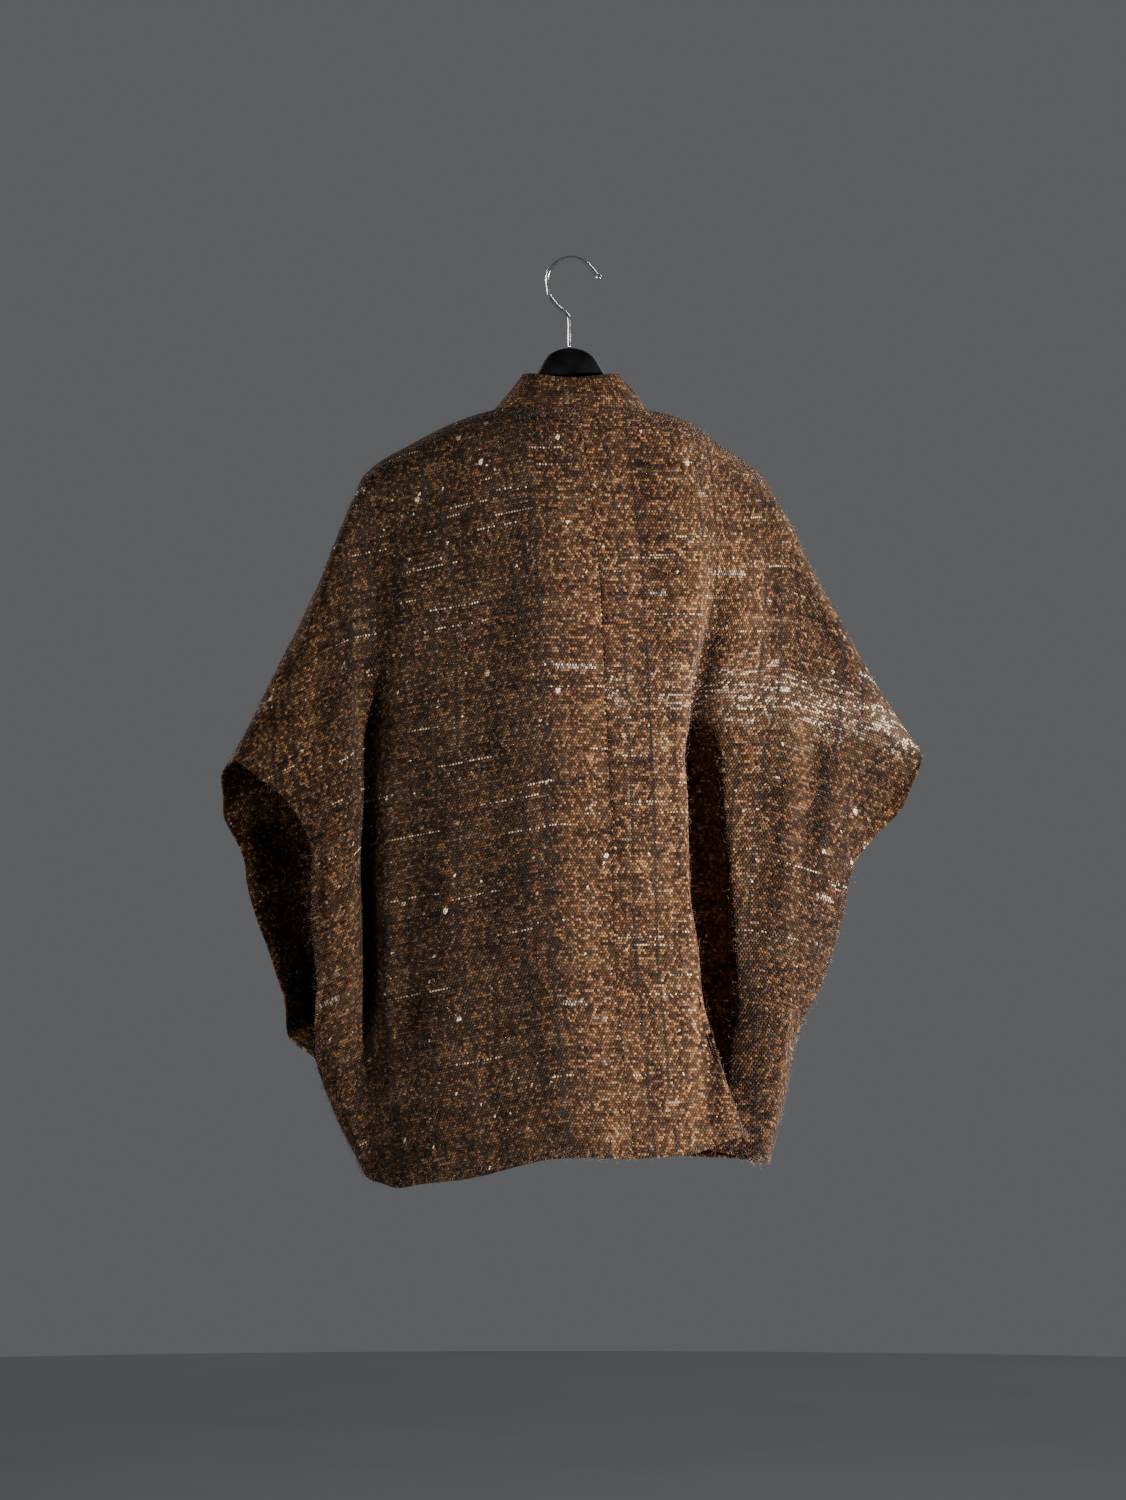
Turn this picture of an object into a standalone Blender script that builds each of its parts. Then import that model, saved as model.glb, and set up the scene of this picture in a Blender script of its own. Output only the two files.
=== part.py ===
"""A wide hand-woven tweed jacket that hangs on a plain hanger, with its back to the viewer.

The cloth is cut without a shoulder insert: each sleeve is one piece with its back or front, and
is only the open upper part of the side. Two backs meet at a centre-back seam, two fronts hang
edge to edge, and a stand collar runs round the neck.

Frame: the origin is the inside of the hook's crown, where a rail would carry it. +Z is up, the
jacket's back faces +Y, and its wearer's left is +X. Sizes in the tables are millimetres.
"""

import math
from collections import namedtuple

import bpy
import numpy as np

MM = 0.001

# Cloth
WALL = 3.0
SEAM_GAP = 0.3

# Neck, shoulder and collar
NECK_HALF_WIDTH = 77.0
NECK_HALF_DEPTH = 45.0
FRONT_NECK_DROP = 45.0
SHOULDER_ARCH = 28.0
COLLAR_HEIGHT = 35.0
COLLAR_TOP_SHARE = 0.63
COLLAR_BACK_DIP = 5.0

# Hanger and hook
HANGER_TOP = -89.0
DOME_RADIUS = 37.0
ARM_LENGTH = 190.0
ARM_START = 85.0
ARM_HEIGHT = -157.2
ARM_SLOPE = 0.535
HANGER_TILT = 0.017
ARM_THICKNESS = 17.0
ARM_END_ROUNDING = 14.0
DOME_EXTRA = 50.0
WIRE_RADIUS = 1.9
HOOK_RADIUS = 24.0
HOOK_CENTRE = -22.0
HOOK_TURN = (45, 192)
BALL_RADIUS = 3.2
BALL_RINGS = 5
STEM = -1.5

# The hanger's top line between its dome and its arm, and its half thickness from front to back.
Saddle = namedtuple("Saddle", "away height")
SADDLE = (Saddle(24, -98), Saddle(36, -118), Saddle(50, -141),
          Saddle(64, -156), Saddle(78, -162), Saddle(95, -164.5))
Width = namedtuple("Width", "away half")
HANGER_WIDTH = (Width(0, 11), Width(50, 8), Width(90, 8), Width(150, 19), Width(190, 19))
HANGER_PLACES = (0, 5, 10, 15, 20, 25, 30, 36, 43, 50, 58, 68, 80, 95, 115, 135, 155, 170, 180, 186, 189)

# The wire from its tip to the round crown, and from the crown under the rail to the stem.
HOOK_LEAD = ((28.0, -18.0), (25.5, -15.0), (21.5, -10.2))
HOOK_UNDER = ((-22.6, -34.0), (-19.5, -40.0), (-15.0, -45.5), (-9.5, -50.5), (-4.6, -54.8), (-2.2, -59.5))

# Heights of the section tables, as a share of the way from the top line to the hem.
SECTIONS = (0.0, 0.12, 0.25, 0.40, 0.55, 0.70, 0.85, 1.0)

# Rows of points down a panel: close together where the cloth turns over the shoulder.
ROWS = (0.0, 0.008, 0.02, 0.04, 0.07, 0.11, 0.16, 0.22, 0.28, 0.34, 0.40,
        0.46, 0.52, 0.58, 0.64, 0.68, 0.72, 0.78, 0.84, 0.90, 0.95, 1.0)

# A line that runs down the cloth from its top line to its hem: its distance from the middle of
# the hook at each of SECTIONS, its depth towards the back, how far its hem lies below the
# origin, and how softly the cloth bends round it.
Line = namedtuple("Line", "name across depth hem bend")

BACK_RIGHT = (
    Line("seam", (7, 19, 28, 33, 38, 40, 49, 61), (45, 44, 46, 52, 57, 60, 62, 60), -899, 0),
    Line("neck", (77, 74, 76, 76, 80, 86, 98, 118), (45, 47, 50, 55, 60, 62, 62, 60), -894, 12),
    Line("crest", (119, 121, 128, 118, 122, 132, 149, 175), (46, 50, 54, 60, 62, 64, 64, 62),
         -877, 17),
    Line("floor", (140, 140, 134, 112, 112, 116, 120, 120), (46, 44, 26, -6, -22, -28, -30, -27),
         -893, 12),
    Line("rise", (165, 165, 158, 144, 156, 168, 176, 170), (44, 40, 34, 19, 14, 8, -2, -16), -902, 12),
    Line("swell", (229, 229, 219, 214, 214, 214, 201, 188), (30, 26, 28, 28, 22, 15, 4, -12), -908, 30),
    Line("edge", (355, 312, 283, 271, 254, 226, 216, 200), (16, 12, 14, 12, 5, -9, -24, -31), -909, 0),
)

BACK_LEFT = (
    Line("seam", (-7, -19, -28, -33, -38, -40, -49, -61), (45, 44, 46, 52, 57, 60, 62, 60), -899, 0),
    Line("ridge", (20, 21, 22, 50, 47, 29, 8, -1), (45, 47, 51, 57, 60, 62, 63, 61), -897, 12),
    Line("neck", (77, 84, 92, 112, 116, 116, 112, 112), (45, 42, 40, 40, 42, 44, 46, 48), -920, 12),
    Line("lip", (150, 158, 176, 190, 191, 190, 178, 150), (38, 31, 26, 22, 20, 20, 28, 32), -925, 9),
    Line("floor", (190, 201, 207, 208, 206, 204, 202, 176), (34, 26, 18, 4, -8, -14, 12, 18), -930, 12),
    Line("crest", (214, 222, 223, 223, 219, 216, 221, 192), (32, 28, 30, 28, 28, 26, 10, 4), -926, 12),
    Line("edge", (338, 279, 259, 260, 254, 257, 239, 208), (16, 24, 28, 26, 24, 4, -12, -14), -917, 0),
)

FRONT_RIGHT = (
    Line("opening", (4, 4, 4, 5, 5, 6, 6, 6), (-45, -47, -52, -57, -60, -62, -62, -60), -902, 0),
    Line("neck", (77, 80, 84, 88, 92, 94, 96, 98), (-45, -47, -52, -58, -62, -64, -64, -62), -903, 12),
    Line("trough", (150, 150, 152, 155, 155, 152, 148, 144), (-42, -36, -34, -38, -42, -48, -54, -56),
         -905, 26),
    Line("swell", (229, 226, 218, 212, 208, 200, 190, 178), (-30, -30, -38, -46, -50, -54, -58, -58),
         -907, 28),
)

FRONT_LEFT = (
    Line("opening", (4, 4, 4, 3, 3, 2, 2, 2), (-45, -47, -52, -57, -60, -62, -62, -60), -902, 0),
    Line("neck", (77, 80, 84, 88, 92, 94, 96, 98), (-45, -47, -52, -58, -62, -64, -64, -62), -906, 12),
    Line("trough", (150, 152, 155, 158, 158, 156, 150, 146), (-42, -36, -34, -36, -38, -42, -46, -50),
         -914, 26),
    Line("swell", (229, 236, 232, 226, 220, 214, 202, 182), (-30, -40, -52, -56, -58, -58, -56, -52),
         -920, 28),
)

# The sleeve's mouth, from the tip to where the side seam starts: how far the front layer's edge
# stands out past the back layer's, and how far in front of it that edge lies.
Mouth = namedtuple("Mouth", "height peek gap")

MOUTH_RIGHT = (
    Mouth(0.00, 0, 32),
    Mouth(0.06, 14, 30),
    Mouth(0.13, 24, 32),
    Mouth(0.20, 14, 36),
    Mouth(0.30, 2, 38),
    Mouth(0.45, -2, 34),
    Mouth(0.60, -1, 26),
    Mouth(0.64, 0, 18),
    Mouth(0.68, 0, 0),
)

MOUTH_LEFT = (
    Mouth(0.00, 0, 32),
    Mouth(0.06, 46, 48),
    Mouth(0.15, 76, 66),
    Mouth(0.30, 67, 76),
    Mouth(0.45, 49, 74),
    Mouth(0.60, 36, 56),
    Mouth(0.68, 26, 34),
    Mouth(0.72, 0, 0),
)

# The top line of each half: neck point, shoulder and overarm down to the sleeve's tip.
TOP_RIGHT = ((77, -151), (106, -158), (152, -188), (192, -218),
             (210, -248), (249, -323), (299, -413), (355, -499))
TOP_LEFT = ((77, -151), (101, -158), (164, -188), (208, -218),
            (222, -248), (251, -323), (296, -413), (338, -500))

# Share of the height over which the side turns from the open mouth's flat edge to the seam's bend.
MOUTH_EASE = 0.08

# Points across a panel: on each straight run, each bend, and the turn at the side.
PER_RUN = 2
PER_BEND = 4
PER_NECK_BEND = 6
PER_TURN = 4
COLLAR_ROWS = 5
HANGER_SIDES = 12
HOOK_SIDES = 8


def smooth(places, values, at):
    """Cubic curve through the values, whose slope at each place never overshoots its neighbours."""
    places = np.asarray(places, float)
    values = np.asarray(values, float)
    step = np.diff(places)
    rise = np.diff(values) / step
    slope = np.zeros(len(values))
    same = rise[:-1] * rise[1:] > 0
    weight = step[:-1] + step[1:]
    near = weight + step[1:]
    far = weight + step[:-1]
    slope[1:-1][same] = (near + far)[same] / (near[same] / rise[:-1][same] + far[same] / rise[1:][same])
    slope[0] = rise[0]
    slope[-1] = rise[-1]
    index = np.clip(np.searchsorted(places, at, side="right") - 1, 0, len(step) - 1)
    part = (at - places[index]) / step[index]
    here = (1 + 2 * part) * (1 - part) ** 2 * values[index]
    after = part ** 2 * (3 - 2 * part) * values[index + 1]
    leave = part * (1 - part) ** 2 * step[index] * slope[index]
    arrive = part ** 2 * (part - 1) * step[index] * slope[index + 1]
    return here + after + leave + arrive


def fold_corners(lines, heights):
    """Across and depth of each line at the heights, as one array of lines by heights by 2."""
    across = [smooth(SECTIONS, line.across, heights) for line in lines]
    depth = [smooth(SECTIONS, line.depth, heights) for line in lines]
    return np.stack([np.array(across), np.array(depth)], axis=-1)


def front_edge(back_edge, mouth, heights):
    """The front's side edge: the back's own edge, moved out and forward along the sleeve's mouth."""
    places = [row.height for row in mouth]
    open_part = heights < places[-1]
    peek = np.where(open_part, smooth(places, [row.peek for row in mouth], heights), 0.0)
    gap = np.where(open_part, smooth(places, [row.gap for row in mouth], heights), 0.0)
    return back_edge + np.stack([peek, -gap], axis=-1)


def rounded_section(corners, bends, neck, closed):
    """Straight runs between the corners, joined by parabolas, with a turn towards the side edge.

    Each parabola leaves the straight run at its bend's distance before the corner and joins the
    next run as far past it. The turn is a quarter ellipse where the side seam is closed, and a
    flat parabola along the open mouth; closed is 1 and 0 there, and between them near its end.
    """
    level = corners[-2] + (corners[-1] - corners[-2]) * (1, 0)
    path = np.concatenate([corners[:-1], level[None]])
    start = path[0]
    points = []
    run = np.arange(PER_RUN) / PER_RUN
    for i in range(1, len(path) - 1):
        count = PER_NECK_BEND if i == neck else PER_BEND
        bend = np.arange(count) / count
        before = path[i] - path[i - 1]
        after = path[i + 1] - path[i]
        length_before = np.linalg.norm(before, axis=-1, keepdims=True)
        length_after = np.linalg.norm(after, axis=-1, keepdims=True)
        leave = path[i] - before * np.minimum(bends[i] / length_before, 0.45)
        join = path[i] + after * np.minimum(bends[i] / length_after, 0.45)
        points += [start + (leave - start) * q for q in run]
        points += [leave * (1 - q) ** 2 + path[i] * 2 * q * (1 - q) + join * q ** 2 for q in bend]
        start = join
    for angle in np.linspace(0, math.pi / 2, PER_TURN + 1):
        across = np.full(len(closed), math.sin(angle))
        depth = closed * (1 - math.cos(angle)) + (1 - closed) * math.sin(angle) ** 2
        points.append(start + (corners[-1] - start) * np.stack([across, depth], axis=-1))
    return np.stack(points, axis=1)


def top_height(across, top, facing):
    """Height of the top line: level round the back neck, then along the shoulder and overarm.

    The front neck follows the turn over the shoulder down, and drops on towards the middle.
    """
    places = [place for place, height in top]
    heights = [height for place, height in top]
    share = np.minimum(across / NECK_HALF_WIDTH, 1.0) ** 2
    outer = smooth(places, heights, np.maximum(across, NECK_HALF_WIDTH))
    if facing > 0:
        return outer
    past_arch = FRONT_NECK_DROP - SHOULDER_ARCH
    return outer - SHOULDER_ARCH * (1 - np.sqrt(share)) - past_arch * (1 - share) ** 2


def hem_height(section, corners, hems):
    """Hem height of each column: between its two lines, in step with its way along the section."""
    ends = section[-1]
    way = np.concatenate([[0], np.cumsum(np.linalg.norm(np.diff(ends, axis=0), axis=1))])
    marks = [way[np.argmin(np.linalg.norm(ends - corner[-1], axis=1))] for corner in corners]
    return smooth(marks, hems, way)


def panel_surface(lines, edge, edge_hem, top, facing, mouth_end):
    """Outer face of a half panel, as heights by columns by 3: away from the middle, back, up.

    A point keeps its share of the way down from the top line to the hem. Its depth is that of
    its section, times a quarter ellipse over the hanger; round the neck the same ellipse starts
    further on, which leaves an oval hole.
    """
    heights = np.array(ROWS)
    corners = np.concatenate([fold_corners(lines, heights), edge[None]])
    bends = [line.bend for line in lines] + [0]
    neck_line = [line.name for line in lines].index("neck")
    closed = np.clip((heights - mouth_end) / MOUTH_EASE + 1, 0, 1)
    section = rounded_section(corners, bends, neck_line, closed)
    crown = top_height(section[0, :, 0], top, facing)
    hem = hem_height(section, corners, [line.hem for line in lines] + [edge_hem])
    drop = heights[:, None] * (crown - hem)
    neck = np.minimum(np.abs(section[0, :, 0]) / NECK_HALF_WIDTH, 1.0) ** 2
    over = 1 - np.minimum(drop / SHOULDER_ARCH, 1.0)
    depth = section[:, :, 1] * np.sqrt(1 - neck * over ** 2)
    depth += facing * SEAM_GAP / 2
    return np.stack([section[:, :, 0] + SEAM_GAP / 2, depth, crown - drop], axis=-1)


def panel_inwards(surface, facing, mouth_end):
    """Direction from the outer to the inner face: across the seams it lies along the seam's cut."""
    along = np.gradient(surface, axis=1)
    down = np.gradient(surface, axis=0)
    normal = np.cross(down, along)
    normal /= np.linalg.norm(normal, axis=-1, keepdims=True)
    if normal[..., 1].mean() * facing < 0:
        normal = -normal
    normal[:, 0] = (0, facing, 0)
    closed = np.array(ROWS) >= mouth_end
    normal[closed, -1] = (1, 0, 0)
    crest = along[0]
    normal[0] = np.stack([-crest[:, 2], np.zeros(len(crest)), crest[:, 0]], axis=-1)
    in_neck = surface[0, :, 0] <= NECK_HALF_WIDTH + SEAM_GAP
    oval = np.stack([surface[0, :, 0] / NECK_HALF_WIDTH ** 2,
                     surface[0, :, 1] / NECK_HALF_DEPTH ** 2, np.zeros(len(crest))], axis=-1)
    normal[0][in_neck] = oval[in_neck]
    normal[0] /= np.linalg.norm(normal[0], axis=-1, keepdims=True)
    return -normal


def wall_faces(outer, inner):
    """Vertices and faces of a closed wall between two grids of the same size.

    Each quad of the rim is split from its outer point that lies further from the middle, so that
    two pieces whose rims meet are split alike.
    """
    rows, columns = outer.shape[:2]
    vertices = np.concatenate([outer.reshape(-1, 3), inner.reshape(-1, 3)])
    number = np.arange(rows * columns).reshape(rows, columns)
    shell = rows * columns
    faces = []
    for i in range(rows - 1):
        for j in range(columns - 1):
            a, b, c, d = number[i, j], number[i, j + 1], number[i + 1, j + 1], number[i + 1, j]
            faces.append((a, b, c, d))
            faces.append((a + shell, d + shell, c + shell, b + shell))
    rim = list(number[0, :-1]) + list(number[:-1, -1]) + list(number[-1, :0:-1]) + list(number[:0:-1, 0])
    for here, after in zip(rim, rim[1:] + rim[:1]):
        if abs(vertices[here, 0]) > abs(vertices[after, 0]):
            faces += [(here, here + shell, after + shell), (here, after + shell, after)]
        else:
            faces += [(here, here + shell, after), (here + shell, after + shell, after)]
    return vertices, faces


def signed_volume(vertices, faces):
    """Volume inside the faces, negative where they point in."""
    total = 0.0
    for face in faces:
        a = vertices[face[0]]
        for b, c in zip(face[1:-1], face[2:]):
            total += np.dot(a, np.cross(vertices[b], vertices[c]))
    return total / 6


def add_object(name, vertices, faces, material):
    """Closed mesh object in metres, with its faces turned outwards and shaded smooth."""
    vertices = np.asarray(vertices, float)
    faces = [tuple(int(corner) for corner in face) for face in faces]
    if signed_volume(vertices, faces) < 0:
        faces = [face[::-1] for face in faces]
    mesh = bpy.data.meshes.new(name)
    mesh.from_pydata((vertices * MM).tolist(), [], faces)
    mesh.materials.append(material)
    mesh.shade_smooth()
    mesh.set_sharp_from_angle(angle=math.radians(50))
    made = bpy.data.objects.new(name, mesh)
    bpy.context.scene.collection.objects.link(made)
    return made


def add_material(name, colour, roughness, metallic):
    """Principled material of one colour."""
    material = bpy.data.materials.new(name)
    material.use_nodes = True
    shader = material.node_tree.nodes["Principled BSDF"]
    shader.inputs["Base Color"].default_value = (*colour, 1.0)
    shader.inputs["Roughness"].default_value = roughness
    shader.inputs["Metallic"].default_value = metallic
    return material


def place(points, side):
    """From (away from the middle, back, up) to world millimetres; side is +1 for the wearer's left."""
    return points * (side, 1, 1)


def add_panel(name, surface, inwards, side, material):
    """One cut piece of cloth, as a wall of even thickness."""
    outer = place(surface, side)
    inner = place(surface + inwards * WALL, side)
    vertices, faces = wall_faces(outer, inner)
    return add_object(name, vertices, faces, material)


def neck_rim(surface, side):
    """Top row of a panel from its inner edge to the neck point, in world millimetres."""
    top = surface[0]
    return place(top[top[:, 0] <= NECK_HALF_WIDTH + SEAM_GAP], side)


def add_collar(rims, material):
    """Stand collar: the panels' own neck line, moved up and drawn in towards the throat."""
    front_right, back_right, back_left, front_left = rims
    base = np.concatenate([front_right[:-1], back_right[:0:-1], back_left[:-1], front_left[::-1]])
    behind = np.clip(base[:, 1] / NECK_HALF_DEPTH, 0, 1)
    share = np.linspace(0, 1, COLLAR_ROWS)[:, None]
    lean = 1 - (1 - COLLAR_TOP_SHARE) * share
    rise = share * (COLLAR_HEIGHT - COLLAR_BACK_DIP * behind ** 4)
    outer = np.stack([base[:, 0] * lean, base[:, 1] * lean, base[:, 2] + SEAM_GAP + rise], axis=-1)
    normal = np.cross(np.gradient(outer, axis=0), np.gradient(outer, axis=1))
    normal /= np.linalg.norm(normal, axis=-1, keepdims=True)
    if (normal[:, :, :2] * outer[:, :, :2]).sum() < 0:
        normal = -normal
    oval = np.stack([base[:, 0] / NECK_HALF_WIDTH ** 2, base[:, 1] / NECK_HALF_DEPTH ** 2,
                     np.zeros(len(base))], axis=-1)
    normal[0] = oval / np.linalg.norm(oval, axis=-1, keepdims=True)
    vertices, faces = wall_faces(outer, outer - normal * WALL)
    return add_object("collar", vertices, faces, material)


def tube_faces(rings, sides):
    """Faces of a tube through rings of points, with a flat cap at each end."""
    faces = []
    for i in range(rings - 1):
        for j in range(sides):
            k = (j + 1) % sides
            faces.append((i * sides + j, i * sides + k, (i + 1) * sides + k, (i + 1) * sides + j))
    faces.append(tuple(range(sides - 1, -1, -1)))
    faces.append(tuple((rings - 1) * sides + j for j in range(sides)))
    return faces


def hanger_top(away):
    """Height of the hanger's top line: a round dome, a saddle under the collar, a straight arm."""
    dome = HANGER_TOP - DOME_RADIUS + np.sqrt(np.maximum(DOME_RADIUS ** 2 - away ** 2, 0))
    places = [row.away for row in SADDLE]
    saddle = smooth(places, [row.height for row in SADDLE], away)
    arm = ARM_HEIGHT - ARM_SLOPE * (away - ARM_START)
    return np.where(away < places[0], dome, np.where(away < places[-1], saddle, arm))


def add_hanger(material):
    """Moulded hanger: a round-topped middle, and two arms that widen towards their ends.

    Its sections stand across the arms. Each is an oval between the top line and the underside,
    and the whole hangs a little lower on the wearer's right.
    """
    across = np.concatenate([-np.array(HANGER_PLACES[:0:-1]), np.array(HANGER_PLACES)])
    away = np.abs(across)
    rounded = np.sqrt(np.clip((ARM_LENGTH - away) / ARM_END_ROUNDING, 0.02, 1))
    thick = (ARM_THICKNESS + DOME_EXTRA * np.clip(1 - away / ARM_START, 0, 1) ** 2) * rounded
    top = hanger_top(away) + HANGER_TILT * across - ARM_THICKNESS / 2 * (1 - rounded)
    width = smooth([row.away for row in HANGER_WIDTH], [row.half for row in HANGER_WIDTH], away) * rounded
    turn = np.linspace(0, 2 * math.pi, HANGER_SIDES, endpoint=False)
    depth = width[:, None] * np.sin(turn)
    height = (top - thick / 2)[:, None] + thick[:, None] / 2 * np.cos(turn)
    rings = np.stack([np.broadcast_to(across[:, None], depth.shape), depth, height], axis=-1)
    return add_object("hanger", rings.reshape(-1, 3), tube_faces(len(across), HANGER_SIDES), material)


def hook_path():
    """Middle line of the wire, in the hook's plane: tip, crown, then back under to the stem."""
    turn = np.radians(np.linspace(*HOOK_TURN, 22))
    crown = np.stack([HOOK_RADIUS * np.cos(turn), HOOK_CENTRE + HOOK_RADIUS * np.sin(turn)], axis=-1)
    stem = [(STEM, HOOK_CENTRE - 2 * HOOK_RADIUS), (STEM, HANGER_TOP + SEAM_GAP)]
    return np.concatenate([HOOK_LEAD, crown, HOOK_UNDER, stem])


def add_hook(material):
    """Bent wire with a small ball at its tip: rings of points stand across its path."""
    path = hook_path()
    outwards = path[0] - path[1]
    outwards /= np.linalg.norm(outwards)
    ball_turn = np.linspace(math.radians(20), math.radians(145), BALL_RINGS)
    ball = path[0] + BALL_RADIUS * np.cos(ball_turn)[:, None] * outwards
    centres = np.concatenate([ball, path[1:]])
    radius = np.concatenate([BALL_RADIUS * np.sin(ball_turn), np.full(len(path) - 1, WIRE_RADIUS)])
    along = np.gradient(centres, axis=0)
    along /= np.linalg.norm(along, axis=-1, keepdims=True)
    along[:BALL_RINGS] = -outwards
    along[-1] = (0, -1)
    sideways = np.stack([-along[:, 1], along[:, 0]], axis=-1)
    turn = np.linspace(0, 2 * math.pi, HOOK_SIDES, endpoint=False)
    flat = centres[:, None] + radius[:, None, None] * sideways[:, None] * np.cos(turn)[None, :, None]
    rings = np.stack([-flat[..., 0], radius[:, None] * np.sin(turn), flat[..., 1]], axis=-1)
    return add_object("hook", rings.reshape(-1, 3), tube_faces(len(centres), HOOK_SIDES), material)


def add_half(side_name, side, back, front, top, mouth, material):
    """Back and front of one half; returns their outer faces."""
    heights = np.array(ROWS)
    back_edge = fold_corners(back[-1:], heights)[0]
    made = {}
    for part, lines, edge, facing in (
        ("back", back[:-1], back_edge, 1),
        ("front", front, front_edge(back_edge, mouth, heights), -1),
    ):
        surface = panel_surface(lines, edge, back[-1].hem, top, facing, mouth[-1].height)
        inwards = panel_inwards(surface, facing, mouth[-1].height)
        add_panel(part + "_" + side_name, surface, inwards, side, material)
        made[part] = surface
    return made


def main():
    for old in list(bpy.data.objects):
        bpy.data.objects.remove(old)
    tweed = add_material("tweed", (0.118, 0.066, 0.042), 0.9, 0.0)
    black = add_material("hanger_plastic", (0.012, 0.012, 0.014), 0.55, 0.0)
    chrome = add_material("hook_wire", (0.62, 0.61, 0.6), 0.2, 1.0)
    right = add_half("right", -1, BACK_RIGHT, FRONT_RIGHT, TOP_RIGHT, MOUTH_RIGHT, tweed)
    left = add_half("left", 1, BACK_LEFT, FRONT_LEFT, TOP_LEFT, MOUTH_LEFT, tweed)
    rims = (neck_rim(right["front"], -1), neck_rim(right["back"], -1),
            neck_rim(left["back"], 1), neck_rim(left["front"], 1))
    add_collar(rims, tweed)
    add_hanger(black)
    add_hook(chrome)


main()
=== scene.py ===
# %% [markdown]
# # A hand-woven tweed jacket on a hanger
#
# The imported model gives plain solids of the cloth, the hanger and its hook. This script dresses
# them: it works out the same surfaces again, much finer, lays soft creases on them, weaves the
# cloth as a material, and adds the loose wool. Every length in the tables is in millimetres.
# The origin is the inside of the hook's crown, the jacket's back faces +Y, and its wearer's left
# is +X.

# %% Load the imported model
from collections import namedtuple

import bpy
import numpy as np
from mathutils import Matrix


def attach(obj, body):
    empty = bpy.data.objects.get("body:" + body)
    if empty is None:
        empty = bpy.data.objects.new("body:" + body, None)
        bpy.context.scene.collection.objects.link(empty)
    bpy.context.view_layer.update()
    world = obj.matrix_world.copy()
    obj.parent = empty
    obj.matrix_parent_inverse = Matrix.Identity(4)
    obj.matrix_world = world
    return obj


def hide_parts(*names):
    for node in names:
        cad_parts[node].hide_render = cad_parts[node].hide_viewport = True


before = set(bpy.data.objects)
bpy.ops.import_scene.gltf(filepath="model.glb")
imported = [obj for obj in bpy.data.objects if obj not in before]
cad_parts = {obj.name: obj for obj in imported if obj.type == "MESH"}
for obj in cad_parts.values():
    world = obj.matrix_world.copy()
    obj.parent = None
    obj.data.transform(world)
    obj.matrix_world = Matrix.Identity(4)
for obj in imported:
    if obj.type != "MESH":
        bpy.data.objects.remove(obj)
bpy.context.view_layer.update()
MM = 0.001
print("solids:", ", ".join(sorted(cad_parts)))

# %% [markdown]
# ## Camera, floor and light
#
# The jacket was photographed from straight behind with a long lens, a little from its wearer's
# left. A picture of 1126 by 1500 pixels shows 1.5 metres of height at the cloth, so a lens of 143
# mm stands 6 metres away. The floor is a pale disc well below the hem. The main light is a tall
# narrow one at the right, low over the cloth: its pool ends on the left half, which stays darker,
# and it leaves the folds black. A broad one at the left reaches into the sleeve's mouth, and two
# behind draw the edges.

# %% Camera
CAMERA_TARGET = (0.008, 0.0, -0.493)
CAMERA_DISTANCE = 6.0
CAMERA_AZIMUTH = 178.0
CAMERA_LENS = 143.3


def add_camera():
    """Camera on a level circle round the target: x = sin(azimuth), y = -cos(azimuth)."""
    data = bpy.data.cameras.new("camera")
    data.lens = CAMERA_LENS
    data.sensor_width = 36.0
    camera = bpy.data.objects.new("camera", data)
    turn = np.radians(CAMERA_AZIMUTH)
    camera.location = np.array(CAMERA_TARGET) + CAMERA_DISTANCE * np.array([np.sin(turn), -np.cos(turn), 0])
    camera.rotation_euler = (np.pi / 2, 0, turn)
    bpy.context.scene.collection.objects.link(camera)
    bpy.context.scene.camera = camera
    return camera


print("camera at", tuple(round(v, 3) for v in add_camera().location))

# %% Mesh and material helpers


def add_mesh(name, vertices, faces, material, uv=None):
    """Smooth mesh object in metres from millimetres; uv holds one place on the cloth per vertex."""
    faces = np.asarray(faces)
    mesh = bpy.data.meshes.new(name)
    mesh.vertices.add(len(vertices))
    mesh.vertices.foreach_set("co", (np.asarray(vertices) * MM).astype(np.float32).ravel())
    mesh.loops.add(faces.size)
    mesh.loops.foreach_set("vertex_index", faces.astype(np.int32).ravel())
    mesh.polygons.add(len(faces))
    mesh.polygons.foreach_set("loop_start", np.arange(0, faces.size, faces.shape[1], dtype=np.int32))
    if uv is not None:
        layer = mesh.uv_layers.new(name="cloth")
        layer.data.foreach_set("uv", uv[faces.ravel()].astype(np.float32).ravel())
    mesh.materials.append(material)
    mesh.update(calc_edges=True)
    mesh.validate()
    mesh.shade_smooth()
    made = bpy.data.objects.new(name, mesh)
    bpy.context.scene.collection.objects.link(made)
    return made


def outward(vertices, faces):
    """Faces of a closed mesh, turned over where the volume inside them, a sum of a.(b x c), is negative."""
    a, b, c = (vertices[faces[:, k]] for k in (0, 1, 2))
    volume = np.einsum("ij,ij->i", a, np.cross(b, c)).sum()
    if faces.shape[1] == 4:
        volume += np.einsum("ij,ij->i", a, np.cross(c, vertices[faces[:, 3]])).sum()
    return faces if volume > 0 else faces[:, ::-1]


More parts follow.
